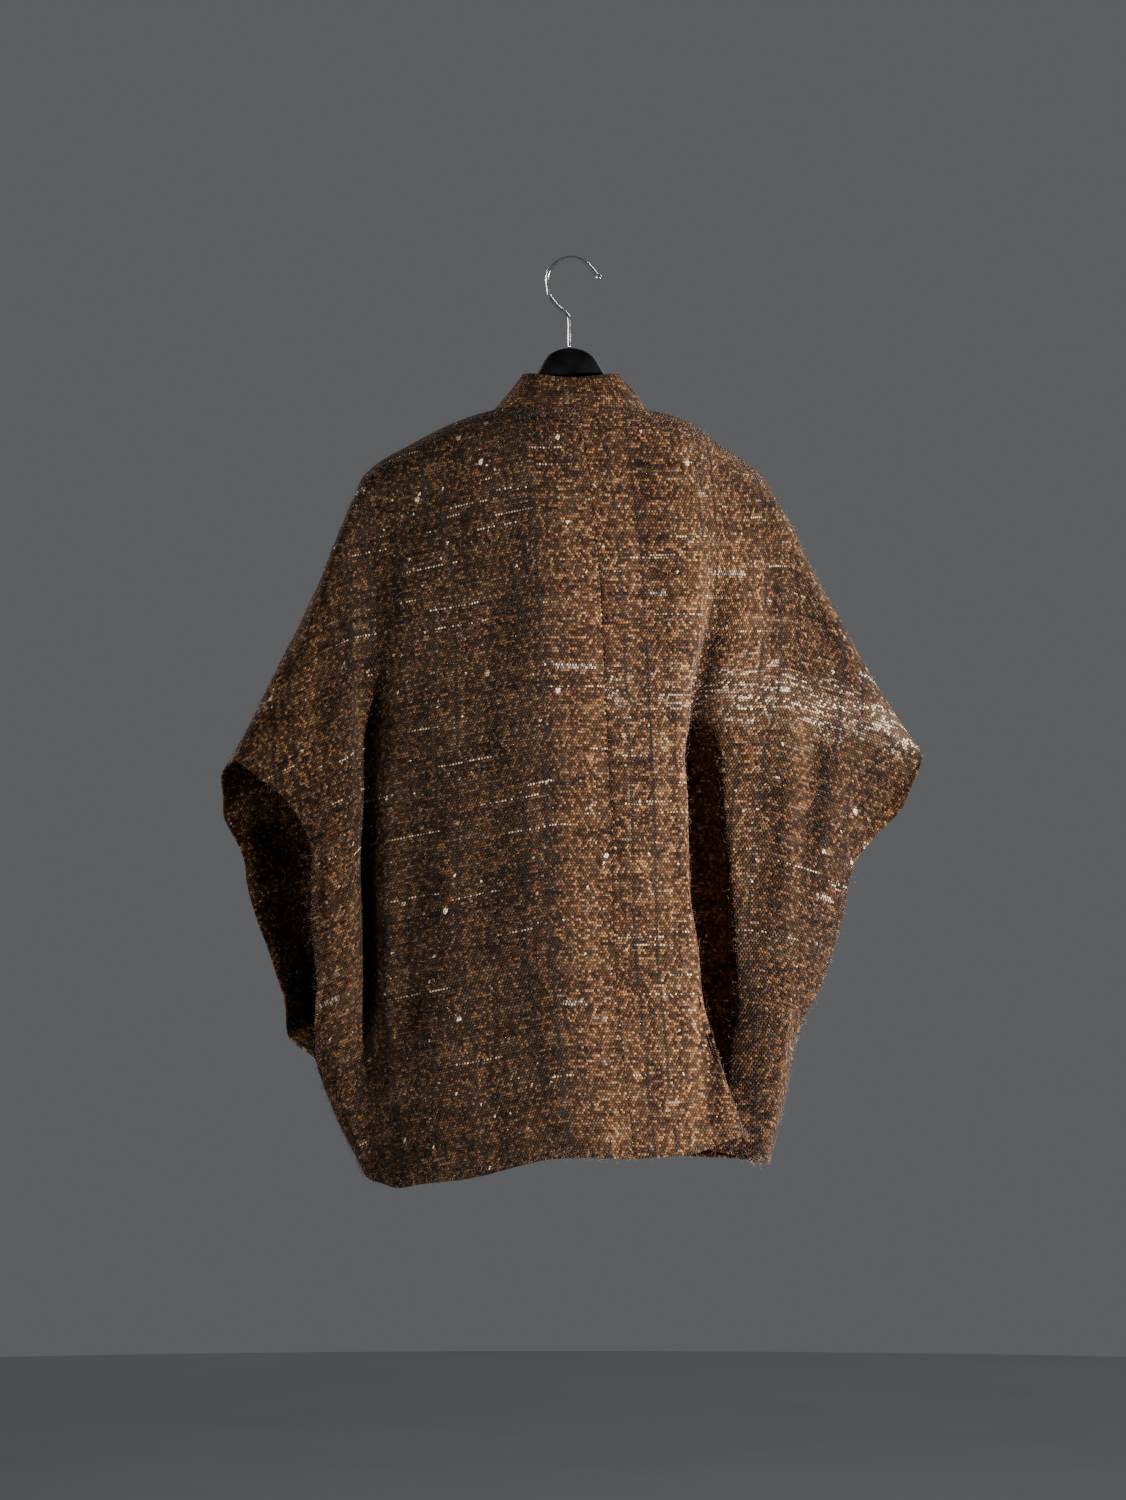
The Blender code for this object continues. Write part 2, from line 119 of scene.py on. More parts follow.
class Field:
    """A number that changes over the surface: a shader node's output, with + - * / as Math nodes."""

    def __init__(self, tree, socket):
        self.tree = tree
        self.socket = socket

    def math(self, operation, *others):
        """One Math node over this field and the others, which are fields or plain numbers."""
        node = self.tree.nodes.new("ShaderNodeMath")
        node.operation = operation
        for place, value in enumerate((self,) + others):
            if isinstance(value, Field):
                self.tree.links.new(value.socket, node.inputs[place])
            else:
                node.inputs[place].default_value = value
        return Field(self.tree, node.outputs[0])

    def __add__(self, other):
        return self.math("ADD", other)

    def __sub__(self, other):
        return self.math("SUBTRACT", other)

    def __mul__(self, other):
        return self.math("MULTIPLY", other)

    def __truediv__(self, other):
        return self.math("DIVIDE", other)

    def remap(self, low, high, to_low=0.0, to_high=1.0):
        """Smooth step from to_low where the field is low to to_high where it is high."""
        node = self.tree.nodes.new("ShaderNodeMapRange")
        node.interpolation_type = "SMOOTHSTEP"
        self.tree.links.new(self.socket, node.inputs["Value"])
        node.inputs["From Min"].default_value = low
        node.inputs["From Max"].default_value = high
        node.inputs["To Min"].default_value = to_low
        node.inputs["To Max"].default_value = to_high
        return Field(self.tree, node.outputs["Result"])


class Finish:
    """A Principled material whose nodes are added one by one."""

    def __init__(self, name, roughness, **sockets):
        self.material = bpy.data.materials.new(name)
        self.material.use_nodes = True
        self.tree = self.material.node_tree
        self.shader = self.tree.nodes["Principled BSDF"]
        self.shader.inputs["Roughness"].default_value = roughness
        for socket, value in sockets.items():
            self.shader.inputs[socket.replace("_", " ")].default_value = value

    def add(self, kind, links=(), **settings):
        """A node of that kind; links are (input, field) pairs, settings its properties or inputs."""
        node = self.tree.nodes.new("ShaderNode" + kind)
        for name, value in settings.items():
            if hasattr(node, name):
                setattr(node, name, value)
            else:
                node.inputs[name.replace("_", " ").title()].default_value = value
        for name, value in links:
            socket = node.inputs[name]
            if isinstance(value, Field):
                self.tree.links.new(value.socket, socket)
            else:
                socket.default_value = value
        return node

    def vector(self, x, y, z=0.0):
        """Three fields or numbers as one vector."""
        return Field(self.tree, self.add("CombineXYZ", (("X", x), ("Y", y), ("Z", z))).outputs[0])

    def chance(self, x, y, z=0.0):
        """A random number from 0 to 1 for each place (x, y, z), the same over one whole cell."""
        node = self.add("TexWhiteNoise", (("Vector", self.vector(x, y, z)),), noise_dimensions="3D")
        return Field(self.tree, node.outputs["Value"])

    def noise(self, where, scale, detail=2.0, roughness=0.5):
        """Soft noise from 0 to 1 with spots about 1 / scale across."""
        node = self.add("TexNoise", (("Vector", where), ("Scale", scale), ("Detail", detail),
                                     ("Roughness", roughness)))
        return Field(self.tree, node.outputs["Fac"])

    def ramp(self, field, stops, steps=False):
        """Colours along a field: stops are (place, (red, green, blue)) pairs."""
        node = self.add("ValToRGB", (("Fac", field),))
        ramp = node.color_ramp
        ramp.interpolation = "CONSTANT" if steps else "LINEAR"
        while len(ramp.elements) < len(stops):
            ramp.elements.new(1.0)
        for element, (place, colour) in zip(ramp.elements, stops):
            element.position = place
            element.color = (*colour, 1.0)
        return Field(self.tree, node.outputs["Color"])

    def mix(self, share, first, second, blend="MIX"):
        """Colour between first and second, which are colour fields or plain colours."""
        node = self.tree.nodes.new("ShaderNodeMix")
        node.data_type = "RGBA"
        node.blend_type = blend
        for place, value in ((0, share), (6, first), (7, second)):
            if isinstance(value, Field):
                self.tree.links.new(value.socket, node.inputs[place])
            else:
                node.inputs[place].default_value = value if place == 0 else (*value, 1.0)
        return Field(self.tree, node.outputs[2])

    def shade(self, colour, power):
        """A colour times one number."""
        return self.mix(1.0, colour, self.vector(power, power, power), "MULTIPLY")

    def place(self):
        """Object coordinates, in metres."""
        return Field(self.tree, self.add("TexCoord").outputs["Object"])

    def bump(self, height, distance, strength=1.0):
        """Relief of height times distance, in metres, on the shader's normal."""
        node = self.add("Bump", (("Height", height), ("Distance", distance), ("Strength", strength)))
        self.tree.links.new(node.outputs[0], self.shader.inputs["Normal"])

    def link(self, field, socket):
        """Joins a field to a socket of the shader."""
        self.tree.links.new(field.socket, self.shader.inputs[socket])


# %% Floor and lights
FLOOR_HEIGHT = -1600.0
FLOOR_RADIUS = 5000.0
SKY_COLOUR = (0.93, 0.96, 1.0, 1.0)
SKY_STRENGTH = 0.12
Lamp = namedtuple("Lamp", "name place aim size power spread")
LAMPS = (Lamp("key", (-2.2, 1.5, -0.78), (-0.09, 0, -0.6), (0.2, 0.9), 7, 13),
         Lamp("fill", (2.9, 1.0, -0.1), (0.1, 0, -0.45), (1.6, 1.6), 19, 90),
         Lamp("rim", (-1.6, -2.2, 1.2), (0, 0, -0.4), (1.0, 1.0), 6, 70),
         Lamp("rim_left", (2.2, -2.0, 0.6), (0, 0, -0.4), (1.0, 1.0), 8, 70))


def add_floor():
    """Disc of one ring of points round a middle: (r cos a, r sin a)."""
    finish = Finish("floor_paint", 0.7)
    patches = finish.noise(finish.place(), 3.0)
    finish.link(finish.ramp(patches, ((0.3, (0.66, 0.67, 0.68)), (0.7, (0.7, 0.71, 0.72)))), "Base Color")
    turn = np.linspace(0, 2 * np.pi, 96, endpoint=False)
    ring = np.stack([FLOOR_RADIUS * np.cos(turn), FLOOR_RADIUS * np.sin(turn),
                     np.full(len(turn), FLOOR_HEIGHT)], axis=-1)
    vertices = np.concatenate([ring, [[0, 0, FLOOR_HEIGHT]]])
    number = np.arange(len(turn))
    faces = np.stack([number, np.roll(number, -1), np.full(len(turn), len(turn))], axis=-1)
    floor = add_mesh("floor", vertices, faces, finish.material)
    return floor


def add_lamp(lamp):
    """Light of size (width, height), its -Z axis towards its aim, its cone spread degrees wide."""
    data = bpy.data.lights.new(lamp.name, "AREA")
    data.shape = "RECTANGLE"
    data.size, data.size_y = lamp.size
    data.energy = lamp.power
    data.spread = np.radians(lamp.spread)
    made = bpy.data.objects.new(lamp.name, data)
    made.location = lamp.place
    way = made.location.copy()
    way.x, way.y, way.z = (a - p for a, p in zip(lamp.aim, lamp.place))
    made.rotation_euler = way.to_track_quat("-Z", "Y").to_euler()
    bpy.context.scene.collection.objects.link(made)


def add_sky():
    """Plain pale surroundings, of one brightness all round."""
    world = bpy.data.worlds.new("studio")
    world.use_nodes = True
    sky = world.node_tree.nodes["Background"]
    sky.inputs["Color"].default_value = SKY_COLOUR
    sky.inputs["Strength"].default_value = SKY_STRENGTH
    bpy.context.scene.world = world


add_floor()
add_sky()
for lamp in LAMPS:
    add_lamp(lamp)
print("floor", FLOOR_HEIGHT, "mm;", len(LAMPS), "lights")

# %% [markdown]
# ## The shape of the cloth
#
# A stiff tweed hangs in a few large folds. Each half panel could be simulated, but its folds would
# not land where the photograph has them. So each fold is a line down the cloth, with its distance
# from the middle and its depth at eight heights. Between the heights the lines follow a smooth
# curve, and across the cloth straight runs join them with a soft bend at each. These are the
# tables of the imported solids, so the fine surface lies on them.

# %% Fold lines of the panels
SECTIONS = (0.0, 0.12, 0.25, 0.40, 0.55, 0.70, 0.85, 1.0)
Line = namedtuple("Line", "name across depth hem bend")

BACK_RIGHT = (
    Line("seam", (7, 19, 28, 33, 38, 40, 49, 61), (45, 44, 46, 52, 57, 60, 62, 60), -899, 0),
    Line("neck", (77, 74, 76, 76, 80, 86, 98, 118), (45, 47, 50, 55, 60, 62, 62, 60), -894, 12),
    Line("crest", (119, 121, 128, 118, 122, 132, 149, 175), (46, 50, 54, 60, 62, 64, 64, 62), -877, 17),
    Line("floor", (140, 140, 134, 112, 112, 116, 120, 120), (46, 44, 26, -6, -22, -28, -30, -27), -893, 12),
    Line("rise", (165, 165, 158, 144, 156, 168, 176, 170), (44, 40, 34, 19, 14, 8, -2, -16), -902, 12),
    Line("swell", (229, 229, 219, 214, 214, 214, 201, 188), (30, 26, 28, 28, 22, 15, 4, -12), -908, 30),
    Line("edge", (355, 312, 283, 271, 254, 226, 216, 200), (16, 12, 14, 12, 5, -9, -24, -31), -909, 0))

BACK_LEFT = (
    Line("seam", (-7, -19, -28, -33, -38, -40, -49, -61), (45, 44, 46, 52, 57, 60, 62, 60), -899, 0),
    Line("ridge", (20, 21, 22, 50, 47, 29, 8, -1), (45, 47, 51, 57, 60, 62, 63, 61), -897, 12),
    Line("neck", (77, 84, 92, 112, 116, 116, 112, 112), (45, 42, 40, 40, 42, 44, 46, 48), -920, 12),
    Line("lip", (150, 158, 176, 190, 191, 190, 178, 150), (38, 31, 26, 22, 20, 20, 28, 32), -925, 9),
    Line("floor", (190, 201, 207, 208, 206, 204, 202, 176), (34, 26, 18, 4, -8, -14, 12, 18), -930, 12),
    Line("crest", (214, 222, 223, 223, 219, 216, 221, 192), (32, 28, 30, 28, 28, 26, 10, 4), -926, 12),
    Line("edge", (338, 279, 259, 260, 254, 257, 239, 208), (16, 24, 28, 26, 24, 4, -12, -14), -917, 0))

FRONT_RIGHT = (
    Line("opening", (4, 4, 4, 5, 5, 6, 6, 6), (-45, -47, -52, -57, -60, -62, -62, -60), -902, 0),
    Line("neck", (77, 80, 84, 88, 92, 94, 96, 98), (-45, -47, -52, -58, -62, -64, -64, -62), -903, 12),
    Line("trough", (150, 150, 152, 155, 155, 152, 148, 144), (-42, -36, -34, -38, -42, -48, -54, -56),
         -905, 26),
    Line("swell", (229, 226, 218, 212, 208, 200, 190, 178), (-30, -30, -38, -46, -50, -54, -58, -58),
         -907, 28))

FRONT_LEFT = (
    Line("opening", (4, 4, 4, 3, 3, 2, 2, 2), (-45, -47, -52, -57, -60, -62, -62, -60), -902, 0),
    Line("neck", (77, 80, 84, 88, 92, 94, 96, 98), (-45, -47, -52, -58, -62, -64, -64, -62), -906, 12),
    Line("trough", (150, 152, 155, 158, 158, 156, 150, 146), (-42, -36, -34, -36, -38, -42, -46, -50),
         -914, 26),
    Line("swell", (229, 236, 232, 226, 220, 214, 202, 182), (-30, -40, -52, -56, -58, -58, -56, -52),
         -920, 28))

print(len(BACK_RIGHT) + len(BACK_LEFT) + len(FRONT_RIGHT) + len(FRONT_LEFT), "fold lines")

# %% Sleeve mouths and top lines
# Peek is how far the front layer's edge stands out past the back's, gap how far it lies in front.
Mouth = namedtuple("Mouth", "height peek gap")
MOUTH_RIGHT = (Mouth(0.00, 0, 32), Mouth(0.06, 14, 30), Mouth(0.13, 24, 32), Mouth(0.20, 14, 36),
               Mouth(0.30, 2, 38), Mouth(0.45, -2, 34), Mouth(0.60, -1, 26), Mouth(0.64, 0, 18),
               Mouth(0.68, 0, 0))
MOUTH_LEFT = (Mouth(0.00, 0, 32), Mouth(0.06, 46, 48), Mouth(0.15, 76, 66), Mouth(0.30, 67, 76),
              Mouth(0.45, 49, 74), Mouth(0.60, 36, 56), Mouth(0.68, 26, 34), Mouth(0.72, 0, 0))
MOUTH_EASE = 0.08
TOP_RIGHT = ((77, -151), (106, -158), (152, -188), (192, -218),
             (210, -248), (249, -323), (299, -413), (355, -499))
TOP_LEFT = ((77, -151), (101, -158), (164, -188), (208, -218),
            (222, -248), (251, -323), (296, -413), (338, -500))
NECK_HALF_WIDTH = 77.0
NECK_HALF_DEPTH = 45.0
FRONT_NECK_DROP = 45.0
SHOULDER_ARCH = 28.0
WALL = 3.0
SEAM_GAP = 0.3
print("sleeve mouths end at", MOUTH_RIGHT[-1].height, "and", MOUTH_LEFT[-1].height, "of the height")

# %% Smooth curves through a table


def smooth(places, values, at):
    """Cubic through the values; each slope is the harmonic mean of its neighbours', or 0 at a turn."""
    places = np.asarray(places, float)
    values = np.asarray(values, float)
    step = np.diff(places)
    rise = np.diff(values) / step
    slope = np.zeros(len(values))
    same = rise[:-1] * rise[1:] > 0
    weight = step[:-1] + step[1:]
    near = weight + step[1:]
    far = weight + step[:-1]
    slope[1:-1][same] = (near + far)[same] / (near[same] / rise[:-1][same] + far[same] / rise[1:][same])
    slope[0] = rise[0]
    slope[-1] = rise[-1]
    index = np.clip(np.searchsorted(places, at, side="right") - 1, 0, len(step) - 1)
    part = (at - places[index]) / step[index]
    here = (1 + 2 * part) * (1 - part) ** 2 * values[index]
    after = part ** 2 * (3 - 2 * part) * values[index + 1]
    leave = part * (1 - part) ** 2 * step[index] * slope[index]
    arrive = part ** 2 * (part - 1) * step[index] * slope[index + 1]
    return here + after + leave + arrive


def columns_of(table, *names):
    """Named columns of a table of rows, each as an array."""
    return [np.array([getattr(row, name) for row in table], float) for name in names]


# %% Rows and sections of a panel
TURN_SHARE = 0.05
TURN_ROWS = 16


def row_shares(falling_rows):
    """Shares of the height: 0.05 (1 - cos a) where the cloth turns over the hanger, then even steps."""
    angle = np.linspace(0, np.pi / 2, TURN_ROWS, endpoint=False)
    return np.concatenate([TURN_SHARE * (1 - np.cos(angle)), np.linspace(TURN_SHARE, 1, falling_rows)])


def fold_corners(lines, heights):
    """Across and depth of each line at the heights, as lines by heights by 2."""
    across = [smooth(SECTIONS, line.across, heights) for line in lines]
    depth = [smooth(SECTIONS, line.depth, heights) for line in lines]
    return np.stack([np.array(across), np.array(depth)], axis=-1)


def front_edge(back_edge, mouth, heights):
    """The front's side edge: the back's own edge, moved out and forward along the sleeve's mouth."""
    places, peeks, gaps = columns_of(mouth, "height", "peek", "gap")
    open_part = heights < places[-1]
    peek = np.where(open_part, smooth(places, peeks, heights), 0.0)
    gap = np.where(open_part, smooth(places, gaps, heights), 0.0)
    return back_edge + np.stack([peek, -gap], axis=-1)


def stretch(places, length, pitch):
    """Even parameters from 0 up to 1, left out, for a stretch of that mean length."""
    return np.arange(max(places, round(length / pitch))) / max(places, round(length / pitch))


def rounded_section(corners, bends, closed, pitch):
    """Straight runs between corners, a parabola l (1-q)^2 + 2 c q (1-q) + j q^2 round each corner c.

    It leaves the run at l and joins the next at j. The last run turns to the side edge: a quarter
    ellipse where the side is sewn, and a flat parabola along the open mouth.
    """
    level = corners[-2] + (corners[-1] - corners[-2]) * (1, 0)
    path = np.concatenate([corners[:-1], level[None]])
    start = path[0]
    points = []
    for i in range(1, len(path) - 1):
        before = path[i] - path[i - 1]
        after = path[i + 1] - path[i]
        length_before = np.linalg.norm(before, axis=-1, keepdims=True)
        length_after = np.linalg.norm(after, axis=-1, keepdims=True)
        leave = path[i] - before * np.minimum(bends[i] / length_before, 0.45)
        join = path[i] + after * np.minimum(bends[i] / length_after, 0.45)
        run = stretch(2, np.linalg.norm(leave - start, axis=-1).mean(), pitch)
        bend = stretch(4, 2 * bends[i], pitch)
        points += [start + (leave - start) * q for q in run]
        points += [leave * (1 - q) ** 2 + path[i] * 2 * q * (1 - q) + join * q ** 2 for q in bend]
        start = join
    reach = np.linalg.norm(corners[-1] - start, axis=-1).mean()
    for share in np.append(stretch(5, reach, pitch), 1.0):
        quarter = np.array([[np.sin(share * np.pi / 2)], [1 - np.cos(share * np.pi / 2)]])
        flat = np.array([[share], [share ** 2]])
        points.append(start + (corners[-1] - start) * (closed * quarter + (1 - closed) * flat).T)
    return np.stack(points, axis=1)


# %% Outer face of a panel


def top_height(across, top, facing):
    """Height of the top line; a front's neckline follows the turn down and drops as (1 - x^2)^2."""
    places, heights = np.array(top, float).T
    share = np.minimum(np.abs(across) / NECK_HALF_WIDTH, 1.0) ** 2
    outer = smooth(places, heights, np.maximum(across, NECK_HALF_WIDTH))
    if facing > 0:
        return outer
    past_arch = FRONT_NECK_DROP - SHOULDER_ARCH
    return outer - SHOULDER_ARCH * (1 - np.sqrt(share)) - past_arch * (1 - share) ** 2


def hem_height(section, corners, hems):
    """Hem height of each column: a smooth curve over its way along the lowest section."""
    ends = section[-1]
    way = np.concatenate([[0], np.cumsum(np.linalg.norm(np.diff(ends, axis=0), axis=1))])
    marks = [way[np.argmin(np.linalg.norm(ends - corner[-1], axis=1))] for corner in corners]
    return smooth(marks, hems, way)


def panel_surface(lines, edge, edge_hem, top, facing, mouth_end, heights, pitch):
    """Heights by columns by 3: across and depth of the section, z = crown - share (crown - hem).

    Over the hanger the depth is that of the section times sqrt(1 - n (1 - drop / arch)^2), a
    quarter ellipse, where n rises from 0 at the middle of the neck to 1 at its side.
    """
    corners = np.concatenate([fold_corners(lines, heights), edge[None]])
    bends = [line.bend for line in lines] + [0]
    closed = np.clip((heights - mouth_end) / MOUTH_EASE + 1, 0, 1)
    section = rounded_section(corners, bends, closed, pitch)
    crown = top_height(section[0, :, 0], top, facing)
    hem = hem_height(section, corners, [line.hem for line in lines] + [edge_hem])
    drop = heights[:, None] * (crown - hem)
    neck = np.minimum(np.abs(section[0, :, 0]) / NECK_HALF_WIDTH, 1.0) ** 2
    over = 1 - np.minimum(drop / SHOULDER_ARCH, 1.0)
    depth = section[:, :, 1] * np.sqrt(1 - neck * over ** 2) + facing * SEAM_GAP / 2
    return np.stack([section[:, :, 0] + SEAM_GAP / 2, depth, crown - drop], axis=-1)


def relaxed(surface, rounds):
    """Each inner point moves to the 1-2-1 mean of its row and of its column; the borders stay."""
    for _ in range(rounds):
        near = surface.copy()
        near[1:-1] = (surface[:-2] + 2 * surface[1:-1] + surface[2:]) / 4
        surface = near.copy()
        surface[1:-1, 1:-1] = (near[1:-1, :-2] + 2 * near[1:-1, 1:-1] + near[1:-1, 2:]) / 4
        surface[0], surface[-1] = near[0], near[-1]
    return surface


# %% [markdown]
# ## Creases, seams and hems
#
# The large folds are there; what a rigid model still lacks is the small unevenness of cloth that
# has been worn. It could be a noise, but real creases have a direction and a cause: they run from
# where the hanger's arm ends, along the sleeve, and into the folds. So each crease is a line with
# a width and a height, a trough where the height is negative, and its relief is a bell across the
# line that fades at both ends. Slow low waves lie under them. Along the sewn seam the right back
# is sunk a little below the left, which shows as one fine dark line.

# %% Creases listed one by one
# Start and end are (away from the middle, up), width is half the bell, height is out of the cloth.
Crease = namedtuple("Crease", "across up across_end up_end width height")

CREASES = {
    "back_right": (
        Crease(246, -448, 226, -610, 17, -9), Crease(219, -440, 208, -690, 14, 5),
        Crease(104, -250, 106, -440, 20, 4), Crease(62, -230, 66, -420, 16, -2.5),
        Crease(186, -232, 214, -300, 16, 3), Crease(214, -320, 330, -478, 13, -3),
        Crease(232, -330, 345, -500, 11, 2.5), Crease(196, -300, 206, -430, 15, -3),
        Crease(165, -240, 172, -380, 15, 3), Crease(150, -560, 166, -760, 10, 2.5),
        Crease(230, -690, 196, -880, 12, -2.5), Crease(96, -560, 104, -800, 16, -2),
        Crease(74, -700, 92, -880, 12, 2), Crease(150, -870, 100, -878, 9, 2),
        Crease(126, -470, 130, -900, 17, -11)),
    "back_left": (
        Crease(150, -250, 158, -520, 24, 3), Crease(184, -290, 196, -540, 15, -4),
        Crease(200, -236, 246, -330, 14, 3), Crease(232, -330, 322, -486, 13, -3.5),
        Crease(250, -420, 300, -510, 12, 3), Crease(72, -300, 86, -520, 18, -2.5),
        Crease(120, -560, 128, -820, 22, 3), Crease(162, -600, 160, -860, 18, -3),
        Crease(84, -640, 70, -880, 16, -2.5), Crease(22, -868, -54, -878, 7, 4.5),
        Crease(26, -884, -40, -896, 6, -3), Crease(240, -560, 238, -700, 8, 2),
        Crease(150, -790, 196, -850, 13, 3), Crease(262, -500, 262, -700, 15, -4),
        Crease(234, -520, 238, -760, 10, 2)),
    "front_right": (
        Crease(60, -260, 66, -560, 18, 3), Crease(110, -240, 124, -520, 16, -4),
        Crease(190, -300, 182, -560, 18, -5), Crease(240, -400, 214, -640, 15, 4),
        Crease(196, -250, 300, -460, 15, 4), Crease(84, -600, 96, -860, 18, -4),
        Crease(140, -620, 150, -880, 16, 4)),
    "front_left": (
        Crease(58, -270, 64, -540, 18, 3), Crease(108, -240, 120, -560, 16, -4),
        Crease(186, -300, 190, -600, 17, -5), Crease(250, -420, 232, -680, 16, 4),
        Crease(200, -250, 290, -440, 15, 4), Crease(90, -620, 92, -880, 18, -4),
        Crease(150, -640, 146, -890, 16, 4), Crease(334, -540, 280, -780, 20, -10),
        Crease(282, -560, 250, -770, 16, 6)),
}
print({name: len(rows) for name, rows in CREASES.items()}, "creases")


def crease_relief(surface, creases):
    """Sum of height exp(-(d / width)^2) times 1 - u^4, u from -1 to 1 along each crease."""
    relief = np.zeros(surface.shape[:2])
    for crease in creases:
        start = np.array([crease.across, crease.up])
        way = np.array([crease.across_end, crease.up_end]) - start
        off = surface[..., (0, 2)] - start
        along = (off @ way) / (way @ way)
        beside = (off[..., 0] * way[1] - off[..., 1] * way[0]) / np.linalg.norm(way)
        bow = 0.1 * np.linalg.norm(way) * (along * (1 - along))
        fade = np.clip(1 - (2 * along - 1) ** 4, 0, 1)
        relief += crease.height * np.exp(-((beside + bow) / crease.width) ** 2) * fade
    return relief


def slow_waves(surface, seed, size):
    """Sum of 16 sines in random directions, 45 to 160 mm long, each of height size / 4."""
    chance = np.random.default_rng(seed)
    angle = chance.uniform(0, np.pi, 16)
    number = 2 * np.pi / chance.uniform(45, 160, 16)
    phase = chance.uniform(0, 2 * np.pi, 16)
    across, up = surface[..., 0, None], surface[..., 2, None]
    return size / 4 * np.sin(number * (across * np.cos(angle) + up * np.sin(angle)) + phase).sum(-1)


# %% Directions and borders of a panel


def unit(vectors):
    """Vectors of length 1."""
    return vectors / np.maximum(np.linalg.norm(vectors, axis=-1, keepdims=True), 1e-9)


def across_grid(surface):
    """Normal of a grid: the cross product of its two directions."""
    return unit(np.cross(np.gradient(surface, axis=0), np.gradient(surface, axis=1)))


def outwards(surface, facing):
    """Normal of a panel, turned to the side that it faces."""
    normal = across_grid(surface)
    return normal * np.sign(normal[..., 1].mean() * facing)


def seam_inwards(surface, facing, closed_rows):
    """From the outer to the inner face: minus the normal, and along the cut at each seam."""
    normal = outwards(surface, facing)
    normal[:, 0] = (0, facing, 0)
    normal[closed_rows, -1] = (1, 0, 0)
    crest = np.gradient(surface[0], axis=0)
    normal[0] = np.stack([-crest[:, 2], np.zeros(len(crest)), crest[:, 0]], axis=-1)
    in_neck = surface[0, :, 0] <= NECK_HALF_WIDTH + SEAM_GAP
    oval = surface[0] / (NECK_HALF_WIDTH ** 2, NECK_HALF_DEPTH ** 2, 1) * (1, 1, 0)
    normal[0][in_neck] = oval[in_neck]
    normal[0] = unit(normal[0])
    return -normal


def away_from_seams(surface, closed_rows, reach):
    """0 on the sewn borders, rising to 1 at the reach from them, as 1 - exp(-(d / reach)^2)."""
    side = np.linalg.norm(surface - surface[:, -1:], axis=-1)
    side[~closed_rows] = 1e3
    near = np.minimum(np.linalg.norm(surface - surface[:, :1], axis=-1), side)
    near = np.minimum(near, np.linalg.norm(surface - surface[:1], axis=-1))
    return 1 - np.exp(-(near / reach) ** 2)


# %% Closed shell with rounded free edges


def shell(name, outer, inner, round_edge, cloth_place, material):
    """Outer and inner grids, joined by a rim of three loops c + (o - c) cos a + e sin a.

    c is the middle between the faces' border points, o the outer one, and e the way out of the
    cloth times the edge's roundness, which is 0 on a seam.
    """
    rows, columns = outer.shape[:2]
    number = np.arange(rows * columns).reshape(rows, columns)
    quads = np.stack([number[:-1, :-1], number[:-1, 1:], number[1:, 1:], number[1:, :-1]], axis=-1)
    quads = quads.reshape(-1, 4)
    rim = np.concatenate([number[0, :-1], number[:-1, -1], number[-1, :0:-1], number[:0:-1, 0]])
    inside = np.clip(np.stack(np.divmod(rim, columns)), 1, [[rows - 2], [columns - 2]])
    flat_outer, flat_inner = outer.reshape(-1, 3), inner.reshape(-1, 3)
    border, far = flat_outer[rim], flat_inner[rim]
    out = unit(border - outer[inside[0], inside[1]]) * round_edge.reshape(-1)[rim][:, None]
    middle = (border + far) / 2
    loops = [middle + (border - middle) * np.cos(a) + out * np.sin(a) for a in np.radians((40, 90, 140))]
    vertices = np.concatenate([flat_outer, flat_inner] + loops)
    base = 2 * rows * columns
    rings = [rim] + [base + k * len(rim) + np.arange(len(rim)) for k in range(3)] + [rim + rows * columns]
    walls = [np.stack([a, b, np.roll(b, -1), np.roll(a, -1)], -1) for a, b in zip(rings[:-1], rings[1:])]
    faces = np.concatenate([quads, quads[:, ::-1] + rows * columns] + walls)
    flat_place = cloth_place.reshape(-1, 2)
    uv = np.concatenate([flat_place, flat_place] + [flat_place[rim]] * 3) * MM
    made = add_mesh(name, vertices, outward(vertices, faces), material, uv)
    made.data.set_sharp_from_angle(angle=np.radians(60))
    return made


# %% [markdown]
# ## Weaving the cloth
#
# Rustic tweed is a plain weave of thick, uneven yarns. Each crossing looks like a bead: on every
# second one the warp lies on top, on the others the weft. Real wefts change colour every few
# centimetres, a few are cream slubs, and pairs of near-black warps make faint stripes. Each
# panel's UV map is its place on the cloth in metres, so the yarns follow the folds. The wefts of
# the sleeves hang lower at the outside, so their place along the warp is corrected with the
# distance from the middle seam.

# %% Place of each point on the cloth
FOLD_EVENNESS = 0.65


